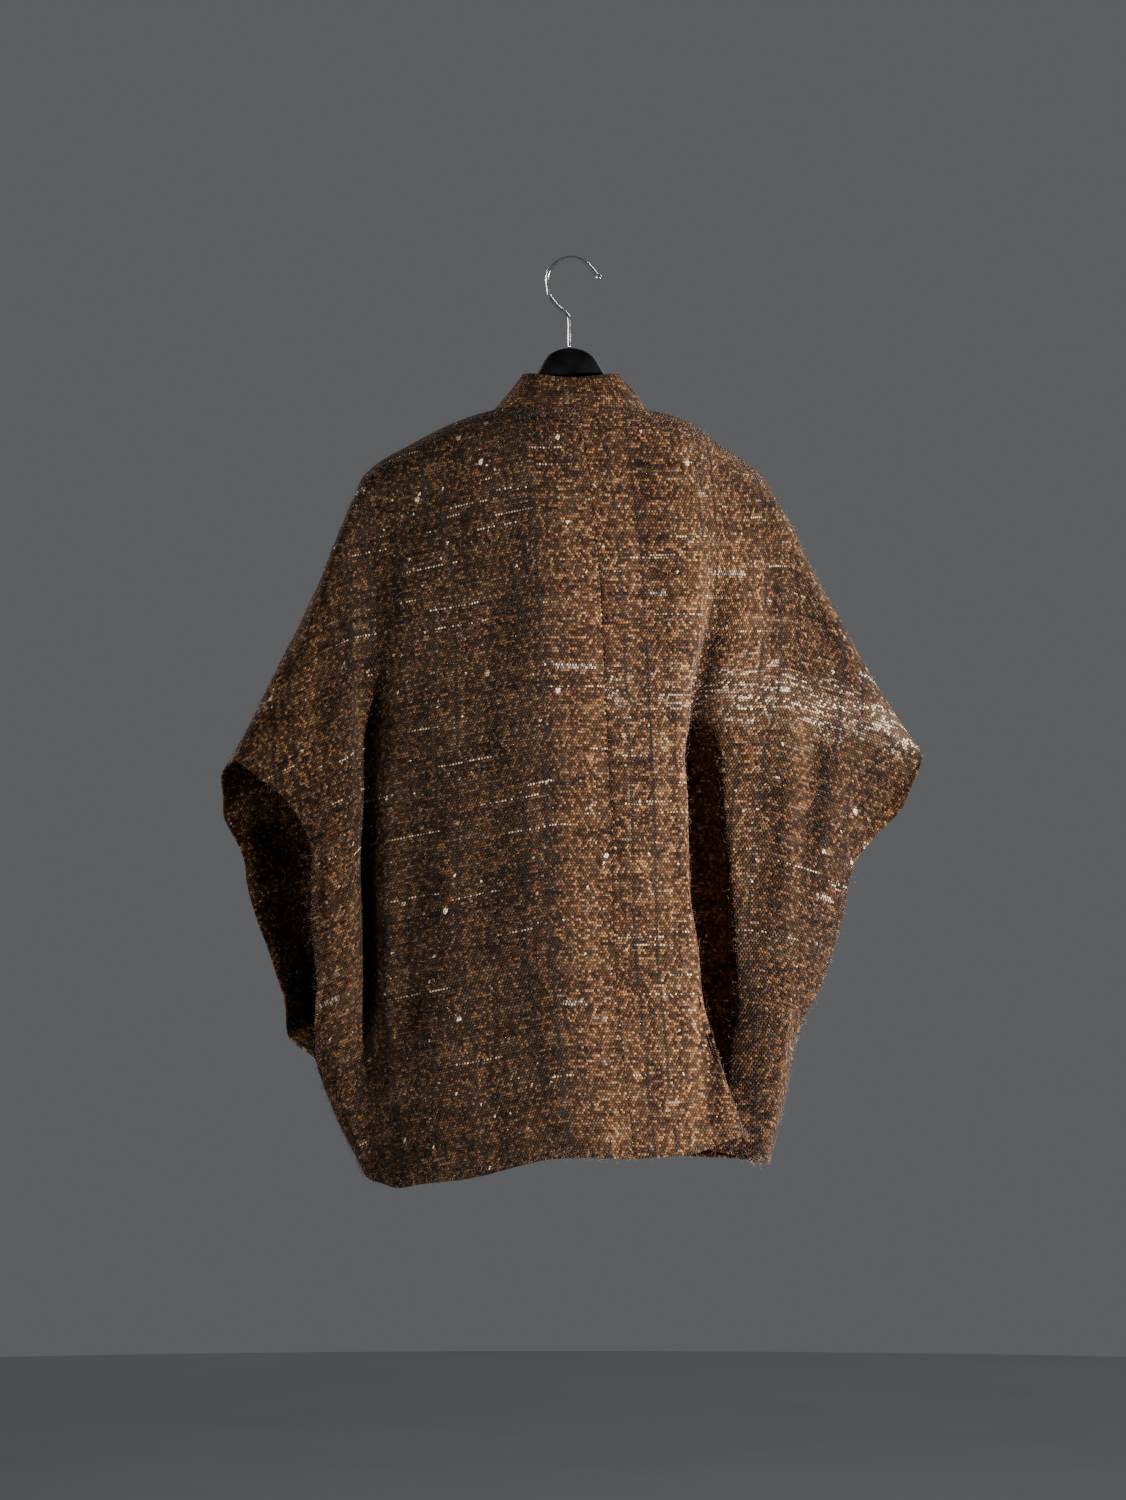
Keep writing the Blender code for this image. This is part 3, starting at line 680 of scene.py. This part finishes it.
def cloth_places(surface, tilt, shift, slack):
    """Across: distance from the seam plus what the folds take up. Along: -z, plus what the turn over
    the shoulder adds, minus the tilt of the wefts: slope times the distance past each start.

    A deep fold takes up more cloth low down than at the top, which would make the warps beyond it
    lean. Most of that difference is put between the two slack columns, inside the fold. Rows of
    the grid slope down along the sleeve, so seam and fold are read at each point's own height.
    """
    x, z = surface[..., 0], surface[..., 2]
    step = np.linalg.norm(np.diff(surface[..., :2], axis=1), axis=-1)
    way = np.concatenate([np.zeros((len(surface), 1)), np.cumsum(step, axis=1)], axis=1)
    first, last = way[:, slack[0], None], way[:, slack[1], None]
    extra = way - (x - x[:, :1])
    whole = extra[:, slack[1], None]
    extra = extra + FOLD_EVENNESS * (whole.mean() - whole) * np.clip((way - first) / (last - first), 0, 1)
    beyond = np.arange(x.shape[1]) > slack[1]
    at_own_height = np.interp(-z[:, beyond], -z[:, slack[1]], extra[:, slack[1]])
    extra[:, beyond] += at_own_height - extra[:, slack[1], None]
    across = x - np.interp(-z, -z[:, 0], x[:, 0]) + extra
    fall = np.linalg.norm(np.diff(surface[..., 1:], axis=0), axis=-1)
    path = np.concatenate([np.zeros((1, surface.shape[1])), np.cumsum(fall, axis=0)])
    extra = path - (surface[:1, :, 2] - surface[..., 2])
    turn = TURN_ROWS + 6
    extra = np.minimum(extra, extra[turn]) - extra[turn]
    along = -surface[..., 2] + extra
    for slope, start in tilt:
        along = along - slope * np.maximum(across - start, 0)
    return np.stack([across + shift[0], along + shift[1]], axis=-1)


# %% Tweed
# Metres on the cloth: between warps, between wefts, and from one pair of dark warps to the next.
WARP_PITCH = 0.00145
WEFT_PITCH = 0.0027
STRIPE_PITCH = 0.088
Stripe = namedtuple("Stripe", "place reach core")
STRIPES = (Stripe(0.002, 0.0022, 0.0011), Stripe(0.024, 0.0019, 0.0009))
BLACK_YARN = (0.011, 0.008, 0.007)

# Heather colours along a hue that changes from yarn to yarn and from patch to patch.
HEATHER = ((0.0, (0.009, 0.005, 0.004)), (0.20, (0.030, 0.013, 0.007)), (0.36, (0.059, 0.025, 0.012)),
           (0.50, (0.092, 0.037, 0.014)), (0.62, (0.080, 0.043, 0.016)), (0.75, (0.106, 0.058, 0.031)),
           (0.88, (0.072, 0.052, 0.042)), (1.0, (0.172, 0.118, 0.080)))

# How much darker painted shade makes one back's sleeve and the other back's body.
SLEEVE_PAINTED_SHADE = 0.44
BODY_PAINTED_SHADE = 0.52

# Slubs lie on stretches of this length where a random number is past the luck.
CREAM = (0.46, 0.34, 0.22)
CREAM_LENGTH = 0.07
CREAM_LUCK = 0.966
THICK = (0.42, 0.34, 0.27)
THICK_LENGTH = 0.09
THICK_LUCK = 0.991

# The bleached band's middle and half width along the warp.
BAND_PLACE = 0.436
BAND_HALF = 0.036
BAND_GROUND = (0.20, 0.12, 0.07)
BLEACHED = (0.60, 0.47, 0.35)

Nubs = namedtuple("Nubs", "scale luck radius")
NUBS = (Nubs(84.0, 0.88, 0.24), Nubs(210.0, 0.89, 0.30))
NUB_COLOURS = ((0.0, (0.10, 0.05, 0.03)), (0.3, (0.30, 0.20, 0.12)), (0.6, (0.66, 0.52, 0.37)))


def weave_cells(finish, u, v):
    """Weft beads like bricks: row number, bead number, and x, y from -1 to 1 inside one bead.

    Each weft row shows one bead over every second warp, and the next row is half a bead aside.
    """
    place = finish.vector(u, v)
    sway = finish.noise(place, 26.0) - 0.5
    lean = finish.noise(finish.vector(v, u, 3.0), 19.0) - 0.5
    weft = (v + lean * 0.005) / WEFT_PITCH
    row = weft.math("FLOOR")
    bead = (u + sway * 0.004) / (2 * WARP_PITCH) + row * 0.5
    cell = bead.math("FLOOR")
    return row, cell, (bead - cell - 0.5) * 2, (weft - row - 0.5) * 2


def yarn_colour(finish, place, u, v, row, cell):
    """Ramp over 0.3 yarn + 0.42 bead + slow patches, times 0.36 + 2.3 bead^3 + slow patches."""
    chance = finish.chance(cell, row)
    stretch = (u / 0.04 + finish.chance(row, 7.0) * 9).math("FLOOR")
    yarn = finish.chance(row, stretch, 1.0)
    patch = finish.noise(place, 16.0, 3.0) - 0.5
    upright = finish.noise(finish.vector(u * 60, v * 3), 1.0, 2.0) - 0.5
    level = finish.noise(finish.vector(u * 4, v * 70), 1.0, 2.0) - 0.5
    hue = yarn * 0.3 + chance * 0.42 + patch * 0.35 + upright * 0.4 + level * 0.35 + 0.12
    colour = finish.ramp(hue, HEATHER)
    bright = finish.chance(cell, row, 4.0)
    power = bright * bright * bright * 2.3 + 0.36 + upright * 0.7 + level * 0.7 + patch * 0.25
    return finish.shade(colour, power), bright


def make_tweed():
    """Weft-faced plain weave from the place (u, v) on the cloth, in metres."""
    finish = Finish("tweed_weave", 0.93, Sheen_Weight=0.05, Sheen_Roughness=0.5,
                    Sheen_Tint=(0.75, 0.55, 0.42, 1.0), Specular_IOR_Level=0.12)
    split = finish.add("SeparateXYZ", (("Vector", Field(finish.tree, finish.add("UVMap").outputs["UV"])),))
    u, v = Field(finish.tree, split.outputs["X"]), Field(finish.tree, split.outputs["Y"])
    place = finish.vector(u, v)
    row, cell, x, y = weave_cells(finish, u, v)
    x2, y2 = x * x, y * y
    dome = (x2 * x2 * -0.9 + 1) * (y2 * -0.8 + 1)
    colour, bright = yarn_colour(finish, place, u, v, row, cell)

    # Painted shade: one back's sleeve and the other's body, apart in the map, are made darker.
    first_back = v.remap(1.2, 1.1)
    second_back = v.remap(1.3, 1.4) * v.remap(2.5, 2.4)
    painted_shade = first_back * u.remap(0.12, 0.24) * -SLEEVE_PAINTED_SHADE + 1
    painted_shade = painted_shade - second_back * u.remap(-0.055, 0.01) * u.remap(0.27, 0.2) * BODY_PAINTED_SHADE
    colour = finish.shade(colour, painted_shade)

    # Thick slubs over two rows, rare and nearly white.
    pair = (row * 0.5).math("FLOOR")
    reach = u / THICK_LENGTH + finish.chance(pair, 13.0) * 9
    thick = finish.chance(pair, reach.math("FLOOR"), 15.0).math("GREATER_THAN", THICK_LUCK)
    thick = thick * reach.math("FRACT").math("LESS_THAN", finish.chance(pair, 17.0) * 0.45 + 0.1)
    thick = thick * x2.remap(0.7, 0.15)
    colour = finish.mix(thick * bright.remap(0.1, 0.9, 0.1, 0.85), colour, THICK)

    # Cream slubs: part of a few stretches of weft, each bead a little different.
    reach = u / CREAM_LENGTH + finish.chance(row, 3.0) * 9
    slub = finish.chance(row, reach.math("FLOOR"), 5.0)
    part = reach.math("FRACT").math("LESS_THAN", (slub - CREAM_LUCK) / (1 - CREAM_LUCK) * 0.85 + 0.1)
    slub = slub.math("GREATER_THAN", CREAM_LUCK) * part * (x2 + y2 * 0.6).remap(0.55, 0.2)
    colour = finish.mix(slub * bright.remap(0.15, 1.0, 0.02, 0.95), colour, CREAM)

    # The pale weft band of one back: a cloud of bleached beads.
    cloud = finish.noise(finish.vector(u * 1.5, v * 5), 20.0, 3.0) - 0.5
    band = (v - BAND_PLACE + cloud * 0.09).math("ABSOLUTE").remap(BAND_HALF, 0.0)
    beyond = u.remap(0.05, 0.22, 0.4, 1.0)
    streaks = finish.noise(finish.vector(u * 25, v * 170), 1.0, 2.0).remap(0.44, 0.62)
    colour = finish.mix(band * u.remap(0.16, 0.34, 0.05, 0.3), colour, BAND_GROUND)
    bleached = band * beyond * streaks * bright.remap(0.3, 0.8) * (x2 + y2 * 0.6).remap(1.0, 0.3)
    colour = finish.mix(bleached * 0.95, colour, BLEACHED)

    # Dark warps in pairs, seen between the beads and faintly through them.
    stripe = (u / STRIPE_PITCH).math("FRACT") * STRIPE_PITCH
    first, second = ((stripe - dark.place).math("ABSOLUTE").remap(dark.reach, dark.core) for dark in STRIPES)
    broken = finish.noise(finish.vector(u * 20, v * 32), 1.0, 3.0).remap(0.36, 0.56, 0.25, 1.0)
    between = y2.remap(0.1, 0.6, 0.72, 1.0)
    colour = finish.mix((first + second) * broken * between, colour, BLACK_YARN)

    # Nubs: small felted lumps, most of them cream, of two sizes and never quite round.
    edge = finish.noise(place, 260.0) * 0.006
    nub = edge * 0.0
    drawn_out = finish.vector(u * 1.15 + edge, v + edge)
    for scale, luck, radius in NUBS:
        lumps = finish.add("TexVoronoi", (("Vector", drawn_out), ("Scale", scale)))
        kind = finish.add("SeparateColor", (("Color", Field(finish.tree, lumps.outputs["Color"])),))
        red, green, blue = (Field(finish.tree, kind.outputs[k]) for k in ("Red", "Green", "Blue"))
        away = Field(finish.tree, lumps.outputs["Distance"]) / (blue * blue + 0.3)
        lump = away.remap(radius, radius * 0.5) * red.math("GREATER_THAN", luck)
        colour = finish.mix(lump * 0.92, colour, finish.ramp(green, NUB_COLOURS, steps=True))
        nub = nub + lump

    # Between the beads the warp shows and painted shade darkens the colour; the beads' tops are painted a
    # little lighter.
    warp_and_painted_shade = dome.remap(0.0, 0.7, 0.22, 1.1)
    finish.link(finish.shade(colour, warp_and_painted_shade), "Base Color")
    fibres = finish.noise(place, 1500.0, 2.0)
    finish.bump(dome + bright * 0.5 + fibres * 0.3 + nub * 1.2 + slub * 0.4 + thick * 0.6, 0.0011, 0.9)
    return finish.material


tweed = make_tweed()
print("tweed:", len(tweed.node_tree.nodes), "nodes")

# %% Panels
PITCH_SHOWN = 2.9
PITCH_HIDDEN = 3.8
FALL_SHOWN = 206
FALL_HIDDEN = 150
EDGE_ROUNDNESS = 1.6

# How far each back is sunk at the seam between them, and how far that reaches.
SEAM_STEP = {"back_right": 0.85, "back_left": -0.15}
SEAM_REACH = 2.4
WAVE_HEIGHT = 1.6
SEAM_FADE = 16.0
Panel = namedtuple("Panel", "name side facing lines top mouth tilt shift slack seed")

PANELS = (
    Panel("back_right", -1, 1, BACK_RIGHT, TOP_RIGHT, MOUTH_RIGHT, ((0.3, 230),), (-19, 0),
          ("crest", "swell"), 11),
    Panel("back_left", 1, 1, BACK_LEFT, TOP_LEFT, MOUTH_LEFT, ((0.19, 60), (0.25, 260)), (-61, 1300),
          ("ridge", "crest"), 12),
    Panel("front_right", -1, -1, FRONT_RIGHT, TOP_RIGHT, MOUTH_RIGHT, ((0.2, 150),), (930, 2600),
          ("neck", "swell"), 13),
    Panel("front_left", 1, -1, FRONT_LEFT, TOP_LEFT, MOUTH_LEFT, ((0.2, 150),), (1840, 3900),
          ("neck", "swell"), 14),
)


def panel_faces(panel):
    """Outer and inner face of one panel, in the half's own frame, with its sewn rows."""
    shown = panel.facing > 0
    heights = row_shares(FALL_SHOWN if shown else FALL_HIDDEN)
    backs = BACK_RIGHT if panel.side < 0 else BACK_LEFT
    edge = fold_corners(backs[-1:], heights)[0]
    lines = panel.lines[:-1] if shown else panel.lines
    if not shown:
        edge = front_edge(edge, panel.mouth, heights)
    closed_rows = heights >= panel.mouth[-1].height
    plain = panel_surface(lines, edge, backs[-1].hem, panel.top, panel.facing, panel.mouth[-1].height,
                          heights, PITCH_SHOWN if shown else PITCH_HIDDEN)
    plain = relaxed(plain, 5 if shown else 3)
    fade = away_from_seams(plain, closed_rows, SEAM_FADE)
    relief = crease_relief(plain, CREASES[panel.name]) + slow_waves(plain, panel.seed, WAVE_HEIGHT)
    outer = plain + outwards(plain, panel.facing) * (relief * fade)[..., None]
    if shown:
        from_seam = np.linalg.norm(outer - outer[:, :1], axis=-1)
        sunk = SEAM_STEP[panel.name] * np.exp(-(from_seam / SEAM_REACH) ** 2)
        sunk[:2] = 0
        outer[..., 1] -= sunk * panel.facing
    return plain, outer, outer + seam_inwards(outer, panel.facing, closed_rows) * WALL, closed_rows


def panel_slack(panel, plain):
    """Columns of the two lines on either side of the panel's fold, found on its lowest row."""
    names = [line.name for line in panel.lines]
    ends = [(panel.lines[names.index(name)].across[-1], panel.lines[names.index(name)].depth[-1])
            for name in panel.slack]
    return [int(np.argmin(np.linalg.norm(plain[-1, :, :2] - end, axis=1))) for end in ends]


def add_panel(panel):
    """One cut piece of cloth: its faces, its round hems and mouth edge, and its place on the weave."""
    plain, outer, inner, closed_rows = panel_faces(panel)
    roundness = np.full(outer.shape[:2], EDGE_ROUNDNESS)
    roundness[0] = 0
    if panel.facing > 0:
        roundness[:, 0] = 0
    roundness[closed_rows, -1] = 0
    roundness[-1] = EDGE_ROUNDNESS
    turn = np.array([panel.side, 1, 1])
    places = cloth_places(plain, panel.tilt, panel.shift, panel_slack(panel, plain))
    made = shell("cloth_" + panel.name, outer * turn, inner * turn, roundness, places, tweed)
    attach(made, "root")
    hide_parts(panel.name)
    print(made.name, len(made.data.polygons), "faces")
    return outer


outer_faces = {panel.name: add_panel(panel) for panel in PANELS}

# %% [markdown]
# ## Stand collar
#
# The collar is a band sewn to the neckline. Carrying the panels' own top edges upwards and inwards
# keeps it on them all round, and its top edge is round, since the band is folded there.

# %% Collar
COLLAR_HEIGHT = 35.0
COLLAR_TOP_SHARE = 0.63
COLLAR_BACK_DIP = 5.0
COLLAR_ROWS = 15


def neck_rim(name, side):
    """Top row of a panel from its inner edge to the neck point."""
    top = outer_faces[name][0]
    return top[top[:, 0] <= NECK_HALF_WIDTH + SEAM_GAP] * (side, 1, 1)


def add_collar():
    """Neckline times a lean that falls evenly from 1 to 0.63, and raised by the height less a dip."""
    front_right, back_right = neck_rim("front_right", -1), neck_rim("back_right", -1)
    back_left, front_left = neck_rim("back_left", 1), neck_rim("front_left", 1)
    base = np.concatenate([front_right[:-1], back_right[:0:-1], back_left[:-1], front_left[::-1]])
    behind = np.clip(base[:, 1] / NECK_HALF_DEPTH, 0, 1)
    share = np.linspace(0, 1, COLLAR_ROWS)[:, None]
    lean = 1 - (1 - COLLAR_TOP_SHARE) * share
    rise = share * (COLLAR_HEIGHT - COLLAR_BACK_DIP * behind ** 4)
    outer = np.stack([base[:, 0] * lean, base[:, 1] * lean, base[:, 2] + SEAM_GAP + rise], axis=-1)
    normal = across_grid(outer)
    normal *= np.sign((normal[..., :2] * outer[..., :2]).sum())
    ripple = 0.5 * np.sin(base[:, 0] / 7.0) + 0.6 * np.sin(base[:, 0] / 17.0 + 1)
    outer = outer + normal * (ripple * np.sin(np.pi * share) ** 2)[..., None]
    normal[0] = unit(base / (NECK_HALF_WIDTH ** 2, NECK_HALF_DEPTH ** 2, 1) * (1, 1, 0))
    roundness = np.full(outer.shape[:2], EDGE_ROUNDNESS)
    roundness[0] = 0
    way = np.concatenate([[0], np.cumsum(np.linalg.norm(np.diff(base[:, :2], axis=0), axis=1))])
    middle = way[np.argmin(np.abs(base[:, 0]) + 1e3 * (base[:, 1] < 0))]
    places = np.stack(np.broadcast_arrays(way - middle, 6000 - share * COLLAR_HEIGHT), axis=-1)
    made = shell("cloth_collar", outer, outer - normal * WALL, roundness, places, tweed)
    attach(made, "root")
    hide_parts("collar")
    return outer


collar_face = add_collar()
print("collar: ", collar_face.shape[1], "points round the neck")

# %% [markdown]
# ## Hanger and hook
#
# The hanger is moulded in matt black plastic: a round-topped middle and two arms that widen
# towards their ends. Oval sections along the arms give its shape. The hook is bright bent wire
# with a small ball at its tip, a circle carried along a path.

# %% Hanger
HANGER_TOP = -89.0
DOME_RADIUS = 37.0
ARM_LENGTH = 190.0
ARM_START = 85.0
ARM_HEIGHT = -157.2
ARM_SLOPE = 0.535
HANGER_TILT = 0.017
ARM_THICKNESS = 17.0
ARM_END_ROUNDING = 14.0
DOME_EXTRA = 50.0
SADDLE = ((24, -98), (36, -118), (50, -141), (64, -156), (78, -162), (95, -164.5))
HANGER_WIDTH = ((0, 11), (50, 8), (90, 8), (150, 19), (190, 19))


def tube(name, rings, material):
    """Closed tube through rings of points, with a fan of triangles at each end."""
    count, sides = rings.shape[:2]
    number = np.arange(count * sides).reshape(count, sides)
    after = np.roll(number, -1, axis=1)
    quads = np.stack([number[:-1], after[:-1], after[1:], number[1:]], -1).reshape(-1, 4)
    tris = np.concatenate([quads[:, (0, 1, 2)], quads[:, (0, 2, 3)]])
    ends = rings[(0, -1), :].mean(axis=1)
    first = np.stack([after[0], number[0], np.full(sides, count * sides)], -1)
    last = np.stack([number[-1], after[-1], np.full(sides, count * sides + 1)], -1)
    vertices = np.concatenate([rings.reshape(-1, 3), ends])
    return add_mesh(name, vertices, outward(vertices, np.concatenate([tris, first, last])), material)


def make_plastic():
    """Matt black plastic: fine moulded grain, and faint dull scuffs."""
    finish = Finish("hanger_black", 0.6, Specular_IOR_Level=0.08)
    place = finish.place()
    scuff = finish.noise(place, 60.0, 4.0)
    finish.link(finish.ramp(scuff, ((0.35, (0.0015, 0.0015, 0.0015)), (0.75, (0.004, 0.004, 0.005)))),
                "Base Color")
    finish.link(scuff.remap(0.3, 0.8, 0.42, 0.62), "Roughness")
    finish.bump(finish.noise(place, 1600.0), 0.0002, 0.4)
    return finish.material


def add_hanger():
    """Ovals (w sin a, h + t / 2 cos a) across the arms; the dome is a half circle, the arm a line."""
    spread = ARM_LENGTH - 0.5
    across = spread * np.sin(np.linspace(-np.pi / 2, np.pi / 2, 150))
    away = np.abs(across)
    places, heights = np.array(SADDLE, float).T
    dome = HANGER_TOP - DOME_RADIUS + np.sqrt(np.maximum(DOME_RADIUS ** 2 - away ** 2, 0))
    arm = ARM_HEIGHT - ARM_SLOPE * (away - ARM_START)
    top = np.where(away < places[0], dome, np.where(away < places[-1], smooth(places, heights, away), arm))
    rounded = np.sqrt(np.clip((ARM_LENGTH - away) / ARM_END_ROUNDING, 0.02, 1))
    thick = (ARM_THICKNESS + DOME_EXTRA * np.clip(1 - away / ARM_START, 0, 1) ** 2) * rounded
    top = top + HANGER_TILT * across - ARM_THICKNESS / 2 * (1 - rounded)
    width = smooth(*np.array(HANGER_WIDTH, float).T, away) * rounded
    turn = np.linspace(0, 2 * np.pi, 36, endpoint=False)
    depth = width[:, None] * np.sin(turn)
    height = (top - thick / 2)[:, None] + thick[:, None] / 2 * np.cos(turn)
    rings = np.stack([np.broadcast_to(across[:, None], depth.shape), depth, height], axis=-1)
    made = tube("hanger_body", rings, make_plastic())
    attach(made, "root")
    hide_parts("hanger")
    return made


print(add_hanger().name, "made")

# %% Hook
WIRE_RADIUS = 1.9
HOOK_RADIUS = 24.0
HOOK_CENTRE = -22.0
HOOK_TURN = (45, 192)
BALL_RADIUS = 3.2
STEM = -1.5
HOOK_LEAD = ((28.0, -18.0), (25.5, -15.0), (21.5, -10.2))
HOOK_UNDER = ((-22.6, -34.0), (-19.5, -40.0), (-15.0, -45.5), (-9.5, -50.5), (-4.6, -54.8), (-2.2, -59.5))


def make_chrome():
    """Bright plated wire with faint drawing marks along it."""
    finish = Finish("hook_chrome", 0.16, Metallic=1.0)
    mark = finish.noise(finish.place(), 300.0, 3.0)
    finish.link(finish.ramp(mark, ((0.3, (0.50, 0.49, 0.48)), (0.7, (0.68, 0.67, 0.66)))), "Base Color")
    finish.link(mark.remap(0.3, 0.8, 0.12, 0.26), "Roughness")
    finish.bump(mark, 0.0001, 0.3)
    return finish.material


def add_hook():
    """A circle of the wire's radius carried along tip, crown, under the rail and stem."""
    turn = np.radians(np.linspace(*HOOK_TURN, 22))
    crown = np.stack([HOOK_RADIUS * np.cos(turn), HOOK_CENTRE + HOOK_RADIUS * np.sin(turn)], axis=-1)
    stem = [(STEM, HOOK_CENTRE - 2 * HOOK_RADIUS), (STEM, HANGER_TOP + SEAM_GAP)]
    coarse = np.concatenate([HOOK_LEAD, crown, HOOK_UNDER, stem])
    way = np.concatenate([[0], np.cumsum(np.linalg.norm(np.diff(coarse, axis=0), axis=1))])
    at = np.linspace(0, way[-1], 130)
    path = np.stack([smooth(way, coarse[:, 0], at), smooth(way, coarse[:, 1], at)], axis=-1)
    out = unit(path[:1] - path[1:2])[0]
    ball_turn = np.linspace(np.radians(6), np.radians(144), 14)
    ball = path[0] + BALL_RADIUS * np.cos(ball_turn)[:, None] * out
    centres = np.concatenate([ball, path[2:]])
    radius = np.concatenate([BALL_RADIUS * np.sin(ball_turn), np.full(len(path) - 2, WIRE_RADIUS)])
    along = unit(np.gradient(centres, axis=0))
    along[:len(ball)] = -out
    beside = np.stack([-along[:, 1], along[:, 0]], axis=-1)
    angle = np.linspace(0, 2 * np.pi, 20, endpoint=False)
    flat = centres[:, None] + radius[:, None, None] * beside[:, None] * np.cos(angle)[None, :, None]
    rings = np.stack([-flat[..., 0], radius[:, None] * np.sin(angle), flat[..., 1]], axis=-1)
    made = tube("hook_wire_bent", rings, make_chrome())
    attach(made, "root")
    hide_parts("hook")
    return made


print(add_hook().name, "made")

# %% [markdown]
# ## Loose wool
#
# Hand-spun wool sheds fine hairs. A particle system would do, but it isn't kept in the exported
# model, so each hair is a thin closed spike of three sides that leans over the cloth and bends
# once. Several thousand on each panel soften its outline.

# %% Hairs
Fuzz = namedtuple("Fuzz", "count length radius")
FUZZ_SHOWN = Fuzz(8000, 7.5, 0.09)
FUZZ_HIDDEN = Fuzz(2400, 7.0, 0.085)

# Chances below which a hair stands at the hem, on the shoulder, and at the side edge.
AT_HEM, AT_TOP, AT_SIDE = 0.08, 0.15, 0.25


def make_wool():
    """Matt wool, brown with spots of cream."""
    finish = Finish("wool_hair", 0.85)
    spot = finish.noise(finish.place(), 160.0)
    finish.link(finish.ramp(spot, ((0.3, (0.05, 0.03, 0.02)), (0.55, (0.10, 0.06, 0.04)),
                                   (0.75, (0.3, 0.22, 0.15)))), "Base Color")
    return finish.material


wool = make_wool()


def hair_mesh(name, roots, normals, fuzz, seed):
    """Spikes r(q) = root + length (n s + t q + b q^2) over three rings, the last shrunk to a point."""
    chance = np.random.default_rng(seed)
    count = len(roots)
    tangent = unit(np.cross(normals, chance.normal(size=(count, 3))))
    other = np.cross(normals, tangent)
    length = fuzz.length * chance.uniform(0.35, 1.5, count)[:, None]
    lift = chance.uniform(0.15, 0.75, count)[:, None]
    curl = chance.uniform(-0.5, 0.5, count)[:, None]
    rings = []
    for share, thick in ((-0.08, 1.0), (0.5, 0.8)):
        middle = roots + length * share * (tangent + normals * lift + other * curl * share)
        for k in range(3):
            angle = 2 * np.pi * k / 3
            rings.append(middle + fuzz.radius * thick * (other * np.cos(angle) + normals * np.sin(angle)))
    rings.append(roots + length * (tangent + normals * lift * 0.6 + other * curl))
    vertices = np.stack(rings, axis=1).reshape(-1, 3)
    pattern = np.array([(0, 2, 1), (0, 1, 4), (0, 4, 3), (1, 2, 5), (1, 5, 4), (2, 0, 3), (2, 3, 5),
                        (3, 4, 6), (4, 5, 6), (5, 3, 6)])
    faces = (np.arange(count)[:, None, None] * 7 + pattern).reshape(-1, 3)
    made = add_mesh(name, vertices, outward(vertices, faces), wool)
    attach(made, "root")
    return made


def scatter(surface, count, seed):
    """Random points of a grid and its normals there; one in four lies near the hem, top or side."""
    chance = np.random.default_rng(seed)
    rows, columns = surface.shape[:2]
    row = chance.integers(1, rows - 1, count)
    column = chance.integers(1, columns - 1, count)
    edge = chance.random(count)
    row = np.where(edge < AT_HEM, rows - 1 - chance.integers(0, 3, count), row)
    row = np.where((edge > AT_HEM) & (edge < AT_TOP), chance.integers(2, TURN_ROWS + 4, count), row)
    at_side = (edge > AT_TOP) & (edge < AT_SIDE)
    column = np.where(at_side, columns - 1 - chance.integers(0, 3, count), column)
    return surface[row, column], across_grid(surface)[row, column]


for panel in PANELS:
    fuzz = FUZZ_SHOWN if panel.facing > 0 else FUZZ_HIDDEN
    roots, normals = scatter(outer_faces[panel.name], fuzz.count, panel.seed)
    normals = normals * np.sign(normals[:, 1:2].mean() * panel.facing)
    turn = np.array([panel.side, 1, 1])
    made = hair_mesh("fuzz_" + panel.name, roots * turn, normals * turn, fuzz, panel.seed)

# %% [markdown]
# ## Cut sizes
#
# Each sheet of cloth is listed with the width, length and area of the piece that a maker would cut,
# and its area is printed beside the cut's, to show that it hasn't stretched.

CUTS = {"back_right": (0.40, 0.80, 0.235), "back_left": (0.42, 0.82, 0.250),
        "front_right": (0.38, 0.80, 0.212), "front_left": (0.42, 0.82, 0.234),
        "collar": (0.35, 0.04, 0.0138)}
for name, (width, length, area) in CUTS.items():
    piece = bpy.data.objects["cloth_" + name]
    areas = np.empty(len(piece.data.polygons), np.float32)
    piece.data.polygons.foreach_get("area", areas)
    print(name, "area", round(float(areas.sum()) / 2, 4), "of", area)
